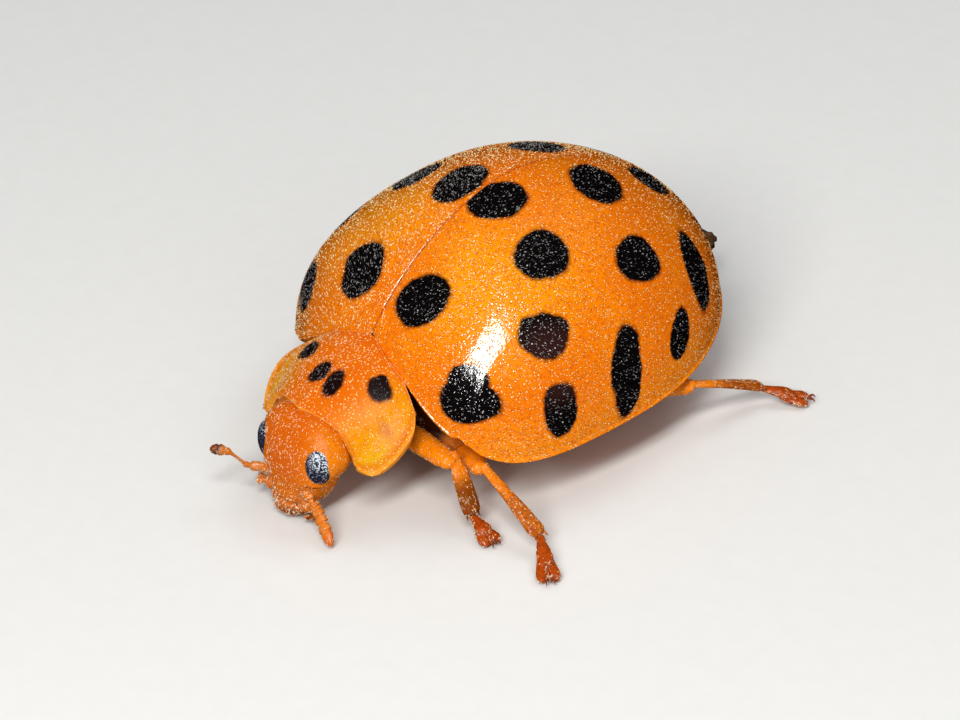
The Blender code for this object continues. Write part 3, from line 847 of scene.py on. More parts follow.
# the neck shield's edges run from the middle outwards or from back to front
shieldLook = {
    "columns": 150, "rows": 76, "thick": 0.10, "rim": 0.026, "frontRound": 0.10, "hindRound": 0.17,
    "front": [(0.00, -1.50, 1.78), (0.36, -1.40, 1.72), (0.72, -1.29, 1.56), (0.93, -1.27, 1.34),
              (1.00, -1.26, 1.10)],
    "side": [(1.30, -0.33, 1.61), (1.42, -0.62, 1.40), (1.37, -0.90, 1.15), (1.20, -1.12, 0.97),
             (1.00, -1.26, 1.10)],
    "middle": [(0.0, -0.05, 2.33), (0.0, -0.50, 2.19), (0.0, -1.00, 1.98), (0.0, -1.50, 1.78)],
    "hind": {"wide": 1.30, "y": (-0.04, -0.28, 1.6), "z": (2.33, -0.72, 2.0), "gap": 0.012},
    "swell": (1.0, 2.0, 2.4), "lobeLift": {"from": 0.80, "height": 0.05},
    "groove": {"at": 0.74, "width": 0.07, "depth": 0.018},
    "rimLine": {"at": 0.075, "width": 0.03, "depth": 0.008},
    "colours": {"middle": (0.66, 0.125, 0.001, 1), "side": (0.74, 0.300, 0.002, 1),
                "lobe": (0.69, 0.45, 0.004, 1), "mottle": (0.70, 0.13, 0.002, 1),
                "rim": (0.62, 0.10, 0.002, 1), "rimEdge": (0.93, 0.36, 0.03, 1),
                "back": (0.62, 0.060, 0.001, 1), "ring": (0.66, 0.12, 0.002, 1),
                "dot": (1.0, 0.66, 0.22, 1), "smudge": (0.52, 0.13, 0.03, 1),
                "edge": (0.14, 0.014, 0.002, 1), "spot": (0.009, 0.003, 0.003, 1)},
    "coat": {"perMm2": 620, "length": 0.034, "thick": 0.014, "untidy": 0.30, "seed": 8,
             "tints": ((0.74, 0.17, 0.002, 1), (1.0, 0.86, 0.58, 1))},
}


def shieldPoint(across, forward):
    # the four edges blended, the middle staying flat across
    look = shieldLook
    side = abs(across)
    middle = curveThrough(look["middle"], forward)
    edge = curveThrough(look["side"], forward)
    y, z = (start + change * side ** power for start, change, power in (look["hind"]["y"], look["hind"]["z"]))
    hind = Vector((look["hind"]["wide"] * side, y, z))
    hind.y = min(hind.y, float(baseEdge(hind.x)) - look["hind"]["gap"])  # stays in front of the wing cases
    front = curveThrough(look["front"], side)
    corners = [Vector(look[k][i]) for k, i in (("middle", 0), ("side", 0), ("middle", -1), ("side", -1))]
    place = Vector()
    for axis, power in enumerate(look["swell"]):
        weight = side ** power
        along = middle[axis] + (edge[axis] - middle[axis]) * weight
        over = hind[axis] + (front[axis] - hind[axis]) * forward
        low = corners[0][axis] + (corners[1][axis] - corners[0][axis]) * weight
        high = corners[2][axis] + (corners[3][axis] - corners[2][axis]) * weight
        place[axis] = along + over - (low + (high - low) * forward)
    if across < 0:
        place.x = -place.x
    return place


def roundCorner(across, forward):
    # the four corners of the grid are drawn in to quarter circles
    span = shieldLook["frontRound"] if forward > 0.5 else shieldLook["hindRound"]
    out = max(abs(across) - (1 - span), 0) / span
    end = max(forward - (1 - span), span - forward, 0) / span
    pulledOut = out * math.sqrt(1 - end * end / 2)
    pulledEnd = end * math.sqrt(1 - out * out / 2)
    if out > 0 and end > 0:
        across = math.copysign(1 - span + span * pulledOut, across)
        forward = 1 - span + span * pulledEnd if forward > 0.5 else span - span * pulledEnd
    return across, forward


def makeShield():
    look = shieldLook
    lobe, groove, rimLine = look["lobeLift"], look["groove"], look["rimLine"]
    shield = grid(look["columns"], look["rows"])
    rim = shield.data.attributes.new("rim", "FLOAT", "POINT")
    for vert in shield.data.vertices:
        across, forward = vert.co.x, (1 - vert.co.y) / 2
        inside = min(1 - abs(across), 2 * forward, 2 * (1 - forward))
        rim.data[vert.index].value = inside
        across, forward = roundCorner(across, forward)
        place = shieldPoint(across, forward)
        e = 0.01
        u = shieldPoint(min(across + e, 1), forward) - shieldPoint(max(across - e, -1), forward)
        v = shieldPoint(across, min(forward + e, 1)) - shieldPoint(across, max(forward - e, 0))
        normal = v.cross(u).normalized() if v.cross(u).length > 1e-9 else Vector((0, 0, 1))
        if normal.z < 0 and abs(across) < 0.6:
            normal = -normal
        flare = max((abs(across) - lobe["from"]) / (1 - lobe["from"]), 0) ** 2 * lobe["height"]
        dip = groove["depth"] * math.exp(-((abs(across) - groove["at"]) / groove["width"]) ** 2)
        line = rimLine["depth"] * math.exp(-((inside - rimLine["at"]) / rimLine["width"]) ** 2)
        vert.co = place + normal * (flare - dip * min(forward * 3, 1) - line)
    if shield.data.vertices[len(shield.data.vertices) // 2].normal.z < 0:
        shield.data.flip_normals()
    return shield


def makeShieldMaterial():
    look = shieldLook["colours"]
    shield = Finish("neck shield", look["middle"], Roughness=0.28, Specular_IOR_Level=0.08,
                    Subsurface_Weight=0.25, Subsurface_Radius=(0.6, 0.2, 0.02), Subsurface_Scale=0.0002)
    x, y, z = shield.parts()
    drop = shield.maths("SUBTRACT", shield.out(x), shield.times(z, 0.55))
    shield.over(shield.ease(drop, -0.75, 0.25), look["side"])
    shield.over(shield.times(shield.ease(drop, 0.15, 0.65), shield.ease(y, -0.65, -1.05)), look["lobe"])
    shield.mottle(9.0, look["mottle"], 0.3)
    rim = shield.attribute("rim")
    shield.over(shield.ease(rim, 0.14, 0.07, 0.0, 0.55), look["rim"])
    shield.over(shield.ease(rim, 0.05, 0.02, 0.0, 0.6), look["rimEdge"])
    shield.over(shield.ease(y, -0.30, -0.10, 0.0, 0.28), look["back"])
    # pinpricks: painted shade in each pit's ring, and a painted glint in its middle
    bright, ring, far = shield.dotted(21.0, 0.88)
    shield.over(shield.times(ring, 0.30), look["ring"])
    shield.over(bright, look["dot"])
    shield.over(shield.ease(shield.spot(shield.place, "smudge"), 1.2, 0.3, 0.0, 0.5), look["smudge"])
    near = shield.spot(shield.place, "neck")
    shield.over(shield.ease(near, 1.35, 1.0, 0.0, 0.75), look["edge"])
    shield.over(shield.ease(near, 1.12, 0.88), look["spot"])
    shield.bump([(shield.ease(far, 0.08, 0.34), 0.005), (shield.noise(45.0), 0.004)])
    return shield.done()


def shieldFlow(root, up):
    # towards the middle line and the tail
    return rowsOf(-0.35 * root[:, 0], 1.0, 0.3)


def shieldKeep(root, up):
    # thickest on the right half
    density = np.clip(0.70 - 1.1 * root[:, 0], 0.40, 1)
    return density, 0.9 + 0.3 * density


neck = makeShield()
neckCoat = growCoat("neck_coat", neck, shieldLook["coat"], shieldFlow, shieldKeep)
addWall(neck, shieldLook["thick"])
addRoundedEdge(neck, shieldLook["rim"])
applyAll(neck)
neck.name = "neck_shield"
dress(smooth(neck), makeShieldMaterial(), "neck_shield", "pronotum")
dress(neckCoat, makeCoatMaterial("neck down", *shieldLook["coat"]["tints"], "neck"), "neck_shield")
print("neck shield made")


# the humps are mirrored and the dent is only on the right cheek; the ridges run under the eyes
headLook = {
    "segments": 72, "rings": 48, "centre": (0.060, -1.47, 0.955), "radii": (0.82, 0.43, 0.745), "tilt": 9.0,
    "jawShare": 0.62, "squareness": (0.80, 0.85, 0.92), "voxel": 0.020, "softRounds": 2,
    "humps": [((0.0, -1.88, 0.42), (0.36, 0.30, 0.17), 0.080), ((0.0, -1.95, 1.10), (0.55, 0.5, 0.5), 0.02),
              ((0.50, -1.82, 0.62), (0.13, 0.2, 0.12), -0.05),
              ((0.64, -1.70, 0.75), (0.22, 0.2, 0.07), 0.035),
              ((0.82, -1.40, 1.12), (0.30, 0.35, 0.38), 0.055),
              ((0.78, -1.45, 0.70), (0.30, 0.35, 0.30), -0.11),
              ((0.40, -1.80, 0.52), (0.16, 0.25, 0.16), -0.03)],
    "dent": ((-0.72, -1.62, 1.08), (0.30, 0.36, 0.34), -0.09),
    "cheek": ((0.36, -1.64, 0.33), (0.13, 0.20, 0.15), 0.5),
    "socket": ((0.46, -1.77, 0.575), (0.085, 0.07, 0.085)),
    "ridge": [(0, 0.01), (0.5, 0.040), (1, 0.01)],
    "ridges": {1: ((0.40, -1.83, 0.78), (0.72, -1.58, 0.755)),
               -1: ((-0.36, -1.80, 0.76), (-0.54, -1.60, 0.73))},
    "colours": {"middle": (0.61, 0.110, 0.001, 1), "side": (0.74, 0.205, 0.002, 1),
                "low": (0.66, 0.185, 0.004, 1), "mottle": (0.58, 0.085, 0.002, 1),
                "mouth": (0.085, 0.022, 0.006, 1), "ring": (0.58, 0.08, 0.002, 1),
                "dot": (1.0, 0.62, 0.20, 1), "eyeLine": (0.16, 0.006, 0.002, 1)},
    "coat": {"perMm2": 640, "length": 0.043, "thick": 0.015, "untidy": 0.38, "seed": 12,
             "tints": ((0.74, 0.20, 0.008, 1), (1.0, 0.90, 0.68, 1))},
    "longHair": {"centre": (0.47, -1.80, 0.58), "radius": 0.13, "below": 0.45, "longer": 2.6},
}
mouthLook = {"upperLip": ((0, -1.80, 0.235), (0.24, 0.11, 0.07), 0.35),
             "lowerLip": ((0, -1.86, 0.150), (0.19, 0.065, 0.055), 0.3),
             "jaws": [((0.13, -1.78, 0.130), (0.12, 0.09, 0.055), 0.5),
                      ((0.26, -1.70, 0.20), (0.11, 0.12, 0.09), 0.3)],
             "palps": {1: ((0.30, -1.56, 0.28), (0.405, -1.635, 0.205), (0.50, -1.73, 0.12)),
                       -1: ((-0.32, -1.60, 0.32), (-0.45, -1.70, 0.33), (-0.60, -1.83, 0.36))},
             "palpRoot": [(0, 0.05), (0.6, 0.07), (1, 0.05)],
             "palpTip": [(0, 0.03), (0.55, 0.085), (0.9, 0.110), (1, 0.06)]}
eyeLook = {"left": (0.660, -1.690, 1.110), "right": (-0.510, -1.700, 1.045), "radii": (0.125, 0.195, 0.285),
           "turn": -52.0, "bare": (0.19, 0.19, 0.27), "paintedReflection": (0.76, -1.63, 1.31),
           "facet": (0.085, 0.098, 0.155, 1), "between": (0.010, 0.012, 0.026, 1),
           "silver": (0.80, 0.86, 0.97, 1)}


def makeHeadSkin():
    look = headLook
    head = ball(look["segments"], look["rings"])
    lean = Matrix.Rotation(-math.radians(look["tilt"]), 3, "X")
    for vert in head.data.vertices:
        wide = look["jawShare"] + (1 - look["jawShare"]) * min((vert.co.z + 1) / 1.25, 1) ** 0.8
        local = [radius * taper * math.copysign(abs(part) ** power, part) for radius, taper, part, power
                 in zip(look["radii"], (wide, 1, 1), vert.co, look["squareness"])]
        place = lean @ Vector(local) + Vector(look["centre"])
        outward = (place - Vector(look["centre"])).normalized()
        mirrored = Vector((abs(place.x), place.y, place.z))
        for centre, radii, size in look["humps"]:
            place += outward * hump(mirrored, centre, radii, size)
        place += outward * hump(place, *look["dent"])
        vert.co = place
    centre, radii, tilt = mouthLook["upperLip"]
    pieces = [turnOut(head), lump(centre, radii, tilt=tilt)]
    for side in (1, -1):
        pieces.append(sidedLump(side, *look["cheek"]))
        pieces.append(limb(*look["ridges"][side], look["ridge"], bow=-0.02))
        pieces.append(sidedLump(side, *look["socket"]))
    return fuse(join("head_skin", pieces), look["voxel"], look["softRounds"])


def makeMouth():
    # the lip, the jaws and the two feelers of the jaw
    look = mouthLook
    centre, radii, tilt = look["lowerLip"]
    pieces = [lump(centre, radii, tilt=tilt)]
    for side in (1, -1):
        for jaw in look["jaws"]:
            pieces.append(sidedLump(side, *jaw))
        base, bend, tip = look["palps"][side]
        pieces.append(limb(base, bend, look["palpRoot"]))
        pieces.append(limb(bend, tip, look["palpTip"], flat=0.6))
    return pieces


def makeHeadMaterial():
    look = headLook["colours"]
    head = Finish("head", look["middle"], Roughness=0.26, Specular_IOR_Level=0.16)
    x, y, z = head.parts()
    out = head.out(x)
    head.over(head.ease(out, 0.25, 0.80), look["side"])
    head.over(head.ease(z, 1.00, 0.45, 0.0, 0.70), look["low"])
    head.mottle(8.0, look["mottle"], 0.35)
    # darker low down: the dark mouthparts, and painted shade under the head
    head.over(head.ease(z, 0.30, 0.16, 0.0, 0.85), look["mouth"])
    # pinpricks: painted shade in each pit's ring, and a painted glint in its middle
    bright, ring, far = head.dotted(21.0, 0.70)
    head.over(head.times(ring, 0.35), look["ring"])
    head.over(head.times(bright, 0.75), look["dot"])
    head.over(head.ease(head.spot(head.together(out, y, z), "eyeLine"), 1.3, 0.6, 0.0, 0.85), look["eyeLine"])
    head.bump([(head.ease(far, 0.08, 0.34), 0.006), (head.noise(40.0), 0.005)])
    return head.done()


def headFlow(root, up):
    # down the face and in towards the mouth
    return rowsOf(-0.5 * root[:, 0], -0.3, -1.0)


def headKeep(root, up):
    # thick over the brow and the mouth, thin on the cheeks, long about the mouth and the feelers
    x, y, z = root.T
    out = np.abs(x)
    density = np.clip(1.05 - out * 0.85, 0.15, 1) * np.where(x < -0.15, 1.0, 0.62)
    density = np.where(z < 0.50, 1.0, density)
    density = np.where(y > -1.25, 0.05, density)
    for side in sides:
        density = np.where(np.linalg.norm((root - eyeLook[side]) / eyeLook["bare"], axis=1) < 1, 0, density)
    long = headLook["longHair"]
    socket = np.linalg.norm((rowsOf(out, y, z) - long["centre"]) / long["radius"], axis=1) < 1
    density = np.where(socket, 1.0, density)
    return density, np.where((z < long["below"]) | socket, long["longer"], 1.0)


def makeEye(side):
    turn = math.radians(eyeLook["turn"]) * sides[side]
    eye = lump(eyeLook[side], eyeLook["radii"], turn, segments=64, rings=40)
    eye.name = "eye_cap_" + side
    return smooth(eye)


def makeEyeMaterial():
    look = eyeLook
    eye = Finish("eye", look["facet"], Roughness=0.22, Coat_Weight=0.5, Coat_Roughness=0.06)
    x, y, z = eye.parts()
    facet = eye.cells(40.0)
    far = facet["Distance"]
    eye.over(eye.ease(far, 0.1, 0.5), look["between"])
    # a painted silvery reflection on the upper half, facet by facet, and painted glints on scattered facets
    paintedReflection = eye.distance(eye.together(eye.out(x), y, z), look["paintedReflection"])
    chance = eye.chance(facet)
    lit = eye.times(eye.ease(paintedReflection, 0.33, 0.12), eye.ease(chance, 0.02, 0.4))
    lit = eye.maths("MAXIMUM", lit, eye.ease(chance, 0.80, 0.90, 0.0, 0.42))
    eye.over(eye.times(lit, eye.ease(far, 0.68, 0.38)), look["silver"])
    eye.bump([(eye.ease(far, 0.5, 0.05), 0.005)])
    return eye.done()


headSkin = makeHeadSkin()
headSkin = smooth(join("head_skin", [headSkin] + makeMouth()))
headCoat = growCoat("head_coat", headSkin, headLook["coat"], headFlow, headKeep)
dress(headSkin, makeHeadMaterial(), "head", "head", "labrum", "palp_left", "palp_right")
dress(headCoat, makeCoatMaterial("head down", *headLook["coat"]["tints"]), "head")
eyeMaterial = makeEyeMaterial()
for side in sides:
    dress(makeEye(side), eyeMaterial, "eye", "eye_" + side)
print("head made")


# each bead is (length, radius); the colours run from base to tip between two distances out
feelerLook = {
    "left": {"path": [(0.47, -1.76, 0.60), (0.57, -1.775, 0.48), (0.66, -1.77, 0.41), (0.90, -1.84, 0.25),
                      (1.17, -1.94, 0.10)],
             "beads": [(0.13, 0.075), (0.07, 0.050), (0.05, 0.062), (0.055, 0.086), (0.06, 0.098),
                       (0.06, 0.102), (0.065, 0.104), (0.08, 0.108), (0.09, 0.108), (0.15, 0.095)],
             "tint": ((0.72, 0.19, 0.006, 1), (0.64, 0.125, 0.003, 1), 0.95, 1.12)},
    "right": {"path": [(-0.47, -1.78, 0.60), (-0.66, -1.95, 0.60), (-0.74, -2.05, 0.73), (-0.84, -2.20, 0.90),
                       (-1.02, -2.36, 0.92)],
              "beads": [(0.17, 0.078), (0.10, 0.050), (0.055, 0.032), (0.05, 0.028), (0.05, 0.027),
                        (0.05, 0.027), (0.05, 0.034), (0.065, 0.066), (0.075, 0.090), (0.11, 0.084)],
              "tint": ((0.60, 0.16, 0.01, 1), (0.035, 0.013, 0.010, 1), 0.82, 0.92)},
    "bead": [(0, 0.60), (0.5, 0.92), (0.85, 1.0), (1, 0.6)],
    "lastBead": [(0, 0.8), (0.3, 1.0), (0.7, 0.75), (0.93, 0.4), (1, 0.12)],
    "flat": 0.70, "up": (0.3, -1, 0.4), "overlap": 0.10, "blotch": (0.50, 0.09, 0.003, 1),
    "coat": {"perMm2": 420, "length": 0.06, "thick": 0.010, "untidy": 0.5, "lean": 1.6, "seed": 21,
             "tints": ((0.90, 0.60, 0.25, 1), (0.97, 0.85, 0.62, 1))},
}


def makeFeeler(side):
    look = feelerLook
    path, beads = look[side]["path"], look[side]["beads"]
    total = sum(length for length, radius in beads)
    run = 0.0
    pieces = []
    for number, (length, radius) in enumerate(beads):
        start = curveThrough(path, run / total)
        run += length
        end = curveThrough(path, min(run / total, 1))
        start = start.lerp(end, -look["overlap"])
        last = number == len(beads) - 1
        profile = [(share, radius * wide) for share, wide in look["lastBead" if last else "bead"]]
        pieces.append(limb(start, end, profile, look["flat"], look["up"], segments=16, rings=12))
    return smooth(join("feeler_" + side, pieces))


def makeFeelerMaterial(side):
    base, tip, start, end = feelerLook[side]["tint"]
    feeler = Finish("feeler " + side, base, Roughness=0.35, Coat_Weight=0.2)
    x, y, z = feeler.parts()
    feeler.over(feeler.ease(feeler.out(x), start, end), tip)
    feeler.over(feeler.ease(feeler.noise(12.0), 0.35, 0.7, 0.0, 0.4), feelerLook["blotch"])
    feeler.bump([(feeler.noise(40.0), 0.008)])
    return feeler.done()


for side in sides:
    feeler = makeFeeler(side)
    path = feelerLook[side]["path"]
    tipwards = Vector(path[-1]) - Vector(path[0])
    coat = growCoat("feeler_coat_" + side, feeler, feelerLook["coat"], towards(*tipwards))
    dress(feeler, makeFeelerMaterial(side), "feeler", "antenna_" + side)
    dress(coat, makeCoatMaterial("feeler down " + side, *feelerLook["coat"]["tints"]), "feeler")
print("feelers made")


# joints are hip, knee, top of the shin, ankle and toe; profiles hold (share of the length, half width)
# pairs; a leg's tint is the colour below and the heights that it fades in between
legLook = {
    "joints": {
        "front_left": ((0.47, -0.05, 0.97), (1.77, -0.16, 1.03), (1.77, -0.06, 1.07), (2.22, -0.12, 0.29),
                       (2.55, -0.16, 0.13)),
        "mid_left": ((0.50, 0.78, 0.62), (2.02, 0.22, 0.84), (2.09, 0.24, 0.88), (3.28, 0.24, 0.29),
                     (3.83, -0.12, 0.13)),
        "hind_left": ((0.95, 2.62, 0.66), (2.66, 3.78, 0.86), (2.68, 3.83, 0.89), (2.84, 5.12, 0.31),
                      (3.23, 5.50, 0.13)),
        "front_right": ((-0.47, -0.08, 0.74), (-1.78, -0.12, 0.92), (-1.79, -0.04, 0.96), (-2.10, 0.22, 0.31),
                        (-2.42, 0.62, 0.13)),
        "mid_right": ((-0.50, 0.78, 0.62), (-2.12, 1.30, 0.86), (-2.14, 1.33, 0.89), (-3.34, 1.98, 0.31),
                      (-4.00, 2.32, 0.13)),
        "hind_right": ((-0.95, 2.62, 0.66), (-2.62, 3.42, 0.86), (-2.64, 3.47, 0.89), (-3.02, 4.62, 0.31),
                       (-3.40, 5.02, 0.13)),
    },
    "coxa": (0.20, 0.15, 0.15), "knee": (0.080, 0.080, 0.080), "voxel": 0.016, "softRounds": 3,
    "thigh": [(0, 0.10), (0.12, 0.15), (0.45, 0.195), (0.80, 0.175), (0.95, 0.135), (1, 0.06)],
    "shin": {"front": [(0, 0.06), (0.10, 0.085), (0.40, 0.140), (0.75, 0.155), (0.95, 0.145), (1, 0.09)],
             "mid": [(0, 0.06), (0.08, 0.080), (0.35, 0.095), (0.75, 0.130), (0.93, 0.145), (1, 0.09)],
             "hind": [(0, 0.06), (0.08, 0.080), (0.35, 0.095), (0.75, 0.120), (0.93, 0.135), (1, 0.09)]},
    "thighOverlap": 0.10, "shinOverlap": 0.04, "shinBow": 0.02, "thighFlat": 0.85, "shinFlat": 0.55,
    "spur": {"apart": 0.09, "back": 0.03, "long": 0.10, "splay": 0.02,
             "profile": [(0, 0.02), (0.4, 0.016), (1, 0.003)]},
    "upper": (0.92, 0.235, 0.002, 1), "mottle": (0.26, 0.035, 0.001, 1), "ring": (0.22, 0.03, 0.001, 1),
    "dot": (0.98, 0.62, 0.20, 1),
    "tints": {"front": ((0.20, 0.052, 0.002, 1), 0.98, 0.62), "mid": ((0.55, 0.125, 0.003, 1), 0.88, 0.56),
              "hind": ((0.42, 0.095, 0.004, 1), 0.88, 0.58)},
    "coat": {"perMm2": 380, "length": 0.060, "thick": 0.012, "untidy": 0.30, "lean": 1.5, "seed": 31,
             "tints": ((0.84, 0.34, 0.04, 1), (1.0, 0.93, 0.74, 1))},
}
footLook = {
    "joint": [(0, 0.055), (0.12, 0.070), (0.75, 0.125), (1, 0.09)], "jointEnd": 0.55, "jointHigh": 0.15,
    "lobe": [(0, 0.06), (0.25, 0.085), (0.75, 0.092), (1, 0.045)], "lobeEnd": 0.95, "lobeHigh": 0.065,
    "lobeSpread": (0.03, 0.115), "pastToe": 0.20, "underAnkle": 0.03, "sole": (0.10, 0.10, 0.05),
    "stalk": [(0, 0.022), (0.7, 0.030), (0.95, 0.040), (1, 0.028)], "flat": 0.62, "voxel": 0.012,
    "softRounds": 3, "tint": ((0.46, 0.070, 0.001, 1), (0.44, 0.060, 0.001, 1)),
    "coat": {"perMm2": 1100, "length": 0.075, "thick": 0.012, "untidy": 0.30, "lean": 1.1, "seed": 31,
             "tints": ((0.95, 0.62, 0.25, 1), (1.0, 0.96, 0.86, 1))},
}
# a step is (ahead, outwards, up); each claw has a root, a tip and a tooth under it
clawLook = {
    "knuckle": (0, 0.022, 0), "bend": (0.055, 0.035, 0.012), "end": (0.045, 0.008, -0.055),
    "toothRoot": (0.02, 0, 0), "toothEnd": (0.045, 0, -0.035), "root": [(0, 0.018), (0.5, 0.020), (1, 0.014)],
    "tip": [(0, 0.014), (0.4, 0.012), (1, 0.002)], "tooth": [(0, 0.012), (1, 0.002)],
    "tint": ((0.30, 0.05, 0.003, 1), (0.22, 0.035, 0.003, 1)),
}


def makeLeg(name):
    look = legLook
    hip, knee, top, ankle, toe = (Vector(p) for p in legLook["joints"][name])
    inwards = -0.02 if hip.x > 0 else 0.02
    out = (knee - hip).normalized()
    down = (ankle - top).normalized()
    shin = look["shin"][name.split("_")[0]]
    over = out * look["thighOverlap"]
    pieces = [lump(hip + Vector((inwards, 0, 0.02)), look["coxa"]),
              limb(hip - over, knee + over, look["thigh"], look["thighFlat"], segments=24, rings=28),
              lump(top, look["knee"], segments=16, rings=12),
              limb(top - down * look["shinOverlap"], ankle, shin, look["shinFlat"], bow=look["shinBow"],
                   segments=24, rings=28)]
    pieces = [fuse(join("leg_" + name, pieces), look["voxel"], look["softRounds"])]
    spur = look["spur"]
    for side in (-1, 1):
        across = down.cross(Vector((0, 0, 1))).normalized() * side
        start = ankle + across * spur["apart"] - down * spur["back"]
        end = start + down * spur["long"] + across * spur["splay"]
        pieces.append(limb(start, end, spur["profile"], segments=8, rings=8))
    return smooth(join("leg_" + name, pieces))


def makeFoot(name):
    # a long three-cornered joint, two broad pads spread apart, and the thin claw joint over them
    look = footLook
    ankle, toe = (Vector(p) for p in legLook["joints"][name][3:])
    reach = (Vector((toe.x, toe.y, 0)) - Vector((ankle.x, ankle.y, 0))).length + look["pastToe"]
    ahead = Vector((toe.x - ankle.x, toe.y - ankle.y, 0)).normalized()
    across = ahead.cross(Vector((0, 0, 1)))
    start = Vector((ankle.x, ankle.y, ankle.z - look["underAnkle"]))
    middle = start + ahead * reach * look["jointEnd"]
    middle.z = look["jointHigh"]
    front = start + ahead * reach * look["lobeEnd"]
    front.z = look["lobeHigh"]
    pieces = [limb(start - ahead * 0.03, middle + ahead * 0.08, look["joint"], flat=look["flat"])]
    for lobe in (-1, 1):
        inner, outer = (across * lobe * spread for spread in look["lobeSpread"])
        pieces.append(limb(middle - ahead * 0.12 + inner, front + outer, look["lobe"], flat=look["flat"]))
    pieces.append(lump(front.lerp(middle, 0.45) - Vector((0, 0, 0.02)), look["sole"]))
    foot = fuse(join("foot_" + name, pieces), look["voxel"], look["softRounds"])
    for vert in foot.data.vertices:
        vert.co.z = max(vert.co.z, 0.0)  # pressed flat on the floor
    clawRoot = front + ahead * 0.01 + Vector((0, 0, 0.05))
    stalk = limb(middle + Vector((0, 0, 0.04)), clawRoot, look["stalk"], segments=12, rings=12)
    return smooth(join("foot_" + name, [foot, stalk])), clawRoot, ahead, across


def makeClaws(name, root, ahead, across):
    look = clawLook
    pieces = []
    for side in (-1, 1):
        def stepped(start, step):
            forward, outwards, rise = look[step]
            return start + ahead * forward + across * side * outwards + Vector((0, 0, rise))

        knuckle = stepped(root, "knuckle")
        bend = stepped(knuckle, "bend")
        pieces.append(limb(knuckle, bend, look["root"], segments=10, rings=8))
        pieces.append(limb(bend, stepped(bend, "end"), look["tip"], segments=10, rings=8))
        pieces.append(limb(stepped(knuckle, "toothRoot"), stepped(knuckle, "toothEnd"), look["tooth"],
                           segments=8, rings=6))
    return smooth(join("claws_" + name, pieces))


def makeLegMaterial(name, upper, lower, high=0.88, low=0.58, dots=0.5):
    # bright above, darker below
    look = legLook
    leg = Finish(name, upper, Roughness=0.26, Specular_IOR_Level=0.30)
    x, y, z = leg.parts()
    share = leg.ease(z, high, low)
    leg.over(share, lower)
    mottle = leg.ease(leg.noise(7.0, 4.0), 0.32, 0.72, 0.0, 0.6)
    leg.over(leg.times(mottle, leg.ease(share, 0.0, 1.0, 0.25, 1.0)), look["mottle"])
    # pinpricks: painted shade in each pit's ring, and a painted glint in its middle
    bright, ring, far = leg.dotted(18.0, dots)
    leg.over(leg.times(ring, leg.ease(share, 0.0, 1.0, 0.10, 0.50)), look["ring"])
    leg.over(leg.times(bright, 0.8), look["dot"])
    leg.bump([(leg.noise(14.0, 4.0), 0.010), (leg.ease(far, 0.08, 0.40), 0.006)])
    return leg.done()


def legKeep(root, up):
    # thin on the thighs, thick from the knee down
    return np.clip(1.55 - 1.1 * root[:, 2], 0.40, 1), np.ones(len(root))


def footKeep(root, up):
    # hairs at the sides of a foot, none on its smooth top
    density = np.clip(1.42 - np.abs(up[:, 2]) * 1.5, 0, 1)
    return np.where(up[:, 2] < -0.3, 0.3, density), np.ones(len(root))


footMaterial = makeLegMaterial("foot", *footLook["tint"], dots=0.12)
clawMaterial = makeLegMaterial("claw", *clawLook["tint"], dots=0.05)
legCoatMaterial = makeCoatMaterial("leg down", *legLook["coat"]["tints"])
footCoatMaterial = makeCoatMaterial("foot down", *footLook["coat"]["tints"])
for which in ("front", "mid", "hind"):
    legMaterial = makeLegMaterial("leg " + which, legLook["upper"], *legLook["tints"][which])
    for side in sides:
        name = which + "_" + side
        hip, knee, top, ankle, toe = (Vector(p) for p in legLook["joints"][name])
        leg = makeLeg(name)
        foot, clawRoot, ahead, across = makeFoot(name)
        claws = makeClaws(name, clawRoot, ahead, across)
        legCoat = growCoat("leg_coat_" + name, leg, legLook["coat"], towards(*(toe - knee)), legKeep)
        footCoat = growCoat("foot_coat_" + name, foot, footLook["coat"], towards(*(toe - ankle)), footKeep)
        dress(leg, legMaterial, "leg", "femur_" + name, "tibia_" + name)
        dress(foot, footMaterial, "foot", "tarsus_" + name)
        dress(claws, clawMaterial, "foot")
        dress(legCoat, legCoatMaterial, "leg")
        dress(footCoat, footCoatMaterial, "foot")
print("legs made")


# the creases lie across the belly, each at its y; the pairs are lumps mirrored to both sides
trunkLook = {
    "segments": 96, "rings": 64, "inset": 0.40, "depth": 0.50, "round": 2.6,
    "creases": [2.75, 3.35, 3.88, 4.36, 4.80, 5.20], "creaseDepth": 0.045, "creaseWidth": 0.035,
    "seam": {"before": 2.7, "depth": 0.03, "width": 0.03},
    "chest": ((0, -0.45, 1.13), (1.05, 0.45, 0.54)),
    "neck": ((0, -1.42, 1.18), (0, -0.55, 1.22), [(0, 0.60), (0.15, 0.80), (0.5, 0.82), (1, 0.6)]),
    "keels": [((0, 0.02, 0.74), (0.17, 0.50, 0.12)), ((0, 1.25, 0.66), (0.75, 0.62, 0.12))],
    "pairs": [((1.05, 0.34, 0.96), (0.45, 0.30, 0.24)), ((0.40, -0.10, 0.76), (0.30, 0.19, 0.18)),
              ((0.45, 0.76, 0.64), (0.30, 0.21, 0.15)), ((0.72, 2.50, 0.70), (0.52, 0.22, 0.13), 0.35)],
    "colours": {"pale": (0.62, 0.17, 0.01, 1), "brown": (0.42, 0.10, 0.008, 1),
                "chest": (0.045, 0.022, 0.012, 1), "blotch": (0.26, 0.06, 0.005, 1),
                "coveredShade": (0.030, 0.007, 0.002, 1)},
    "coat": {"perMm2": 90, "length": 0.10, "thick": 0.010, "untidy": 0.3, "seed": 41,
             "tints": ((0.70, 0.45, 0.18, 1), (0.90, 0.75, 0.50, 1))},
}


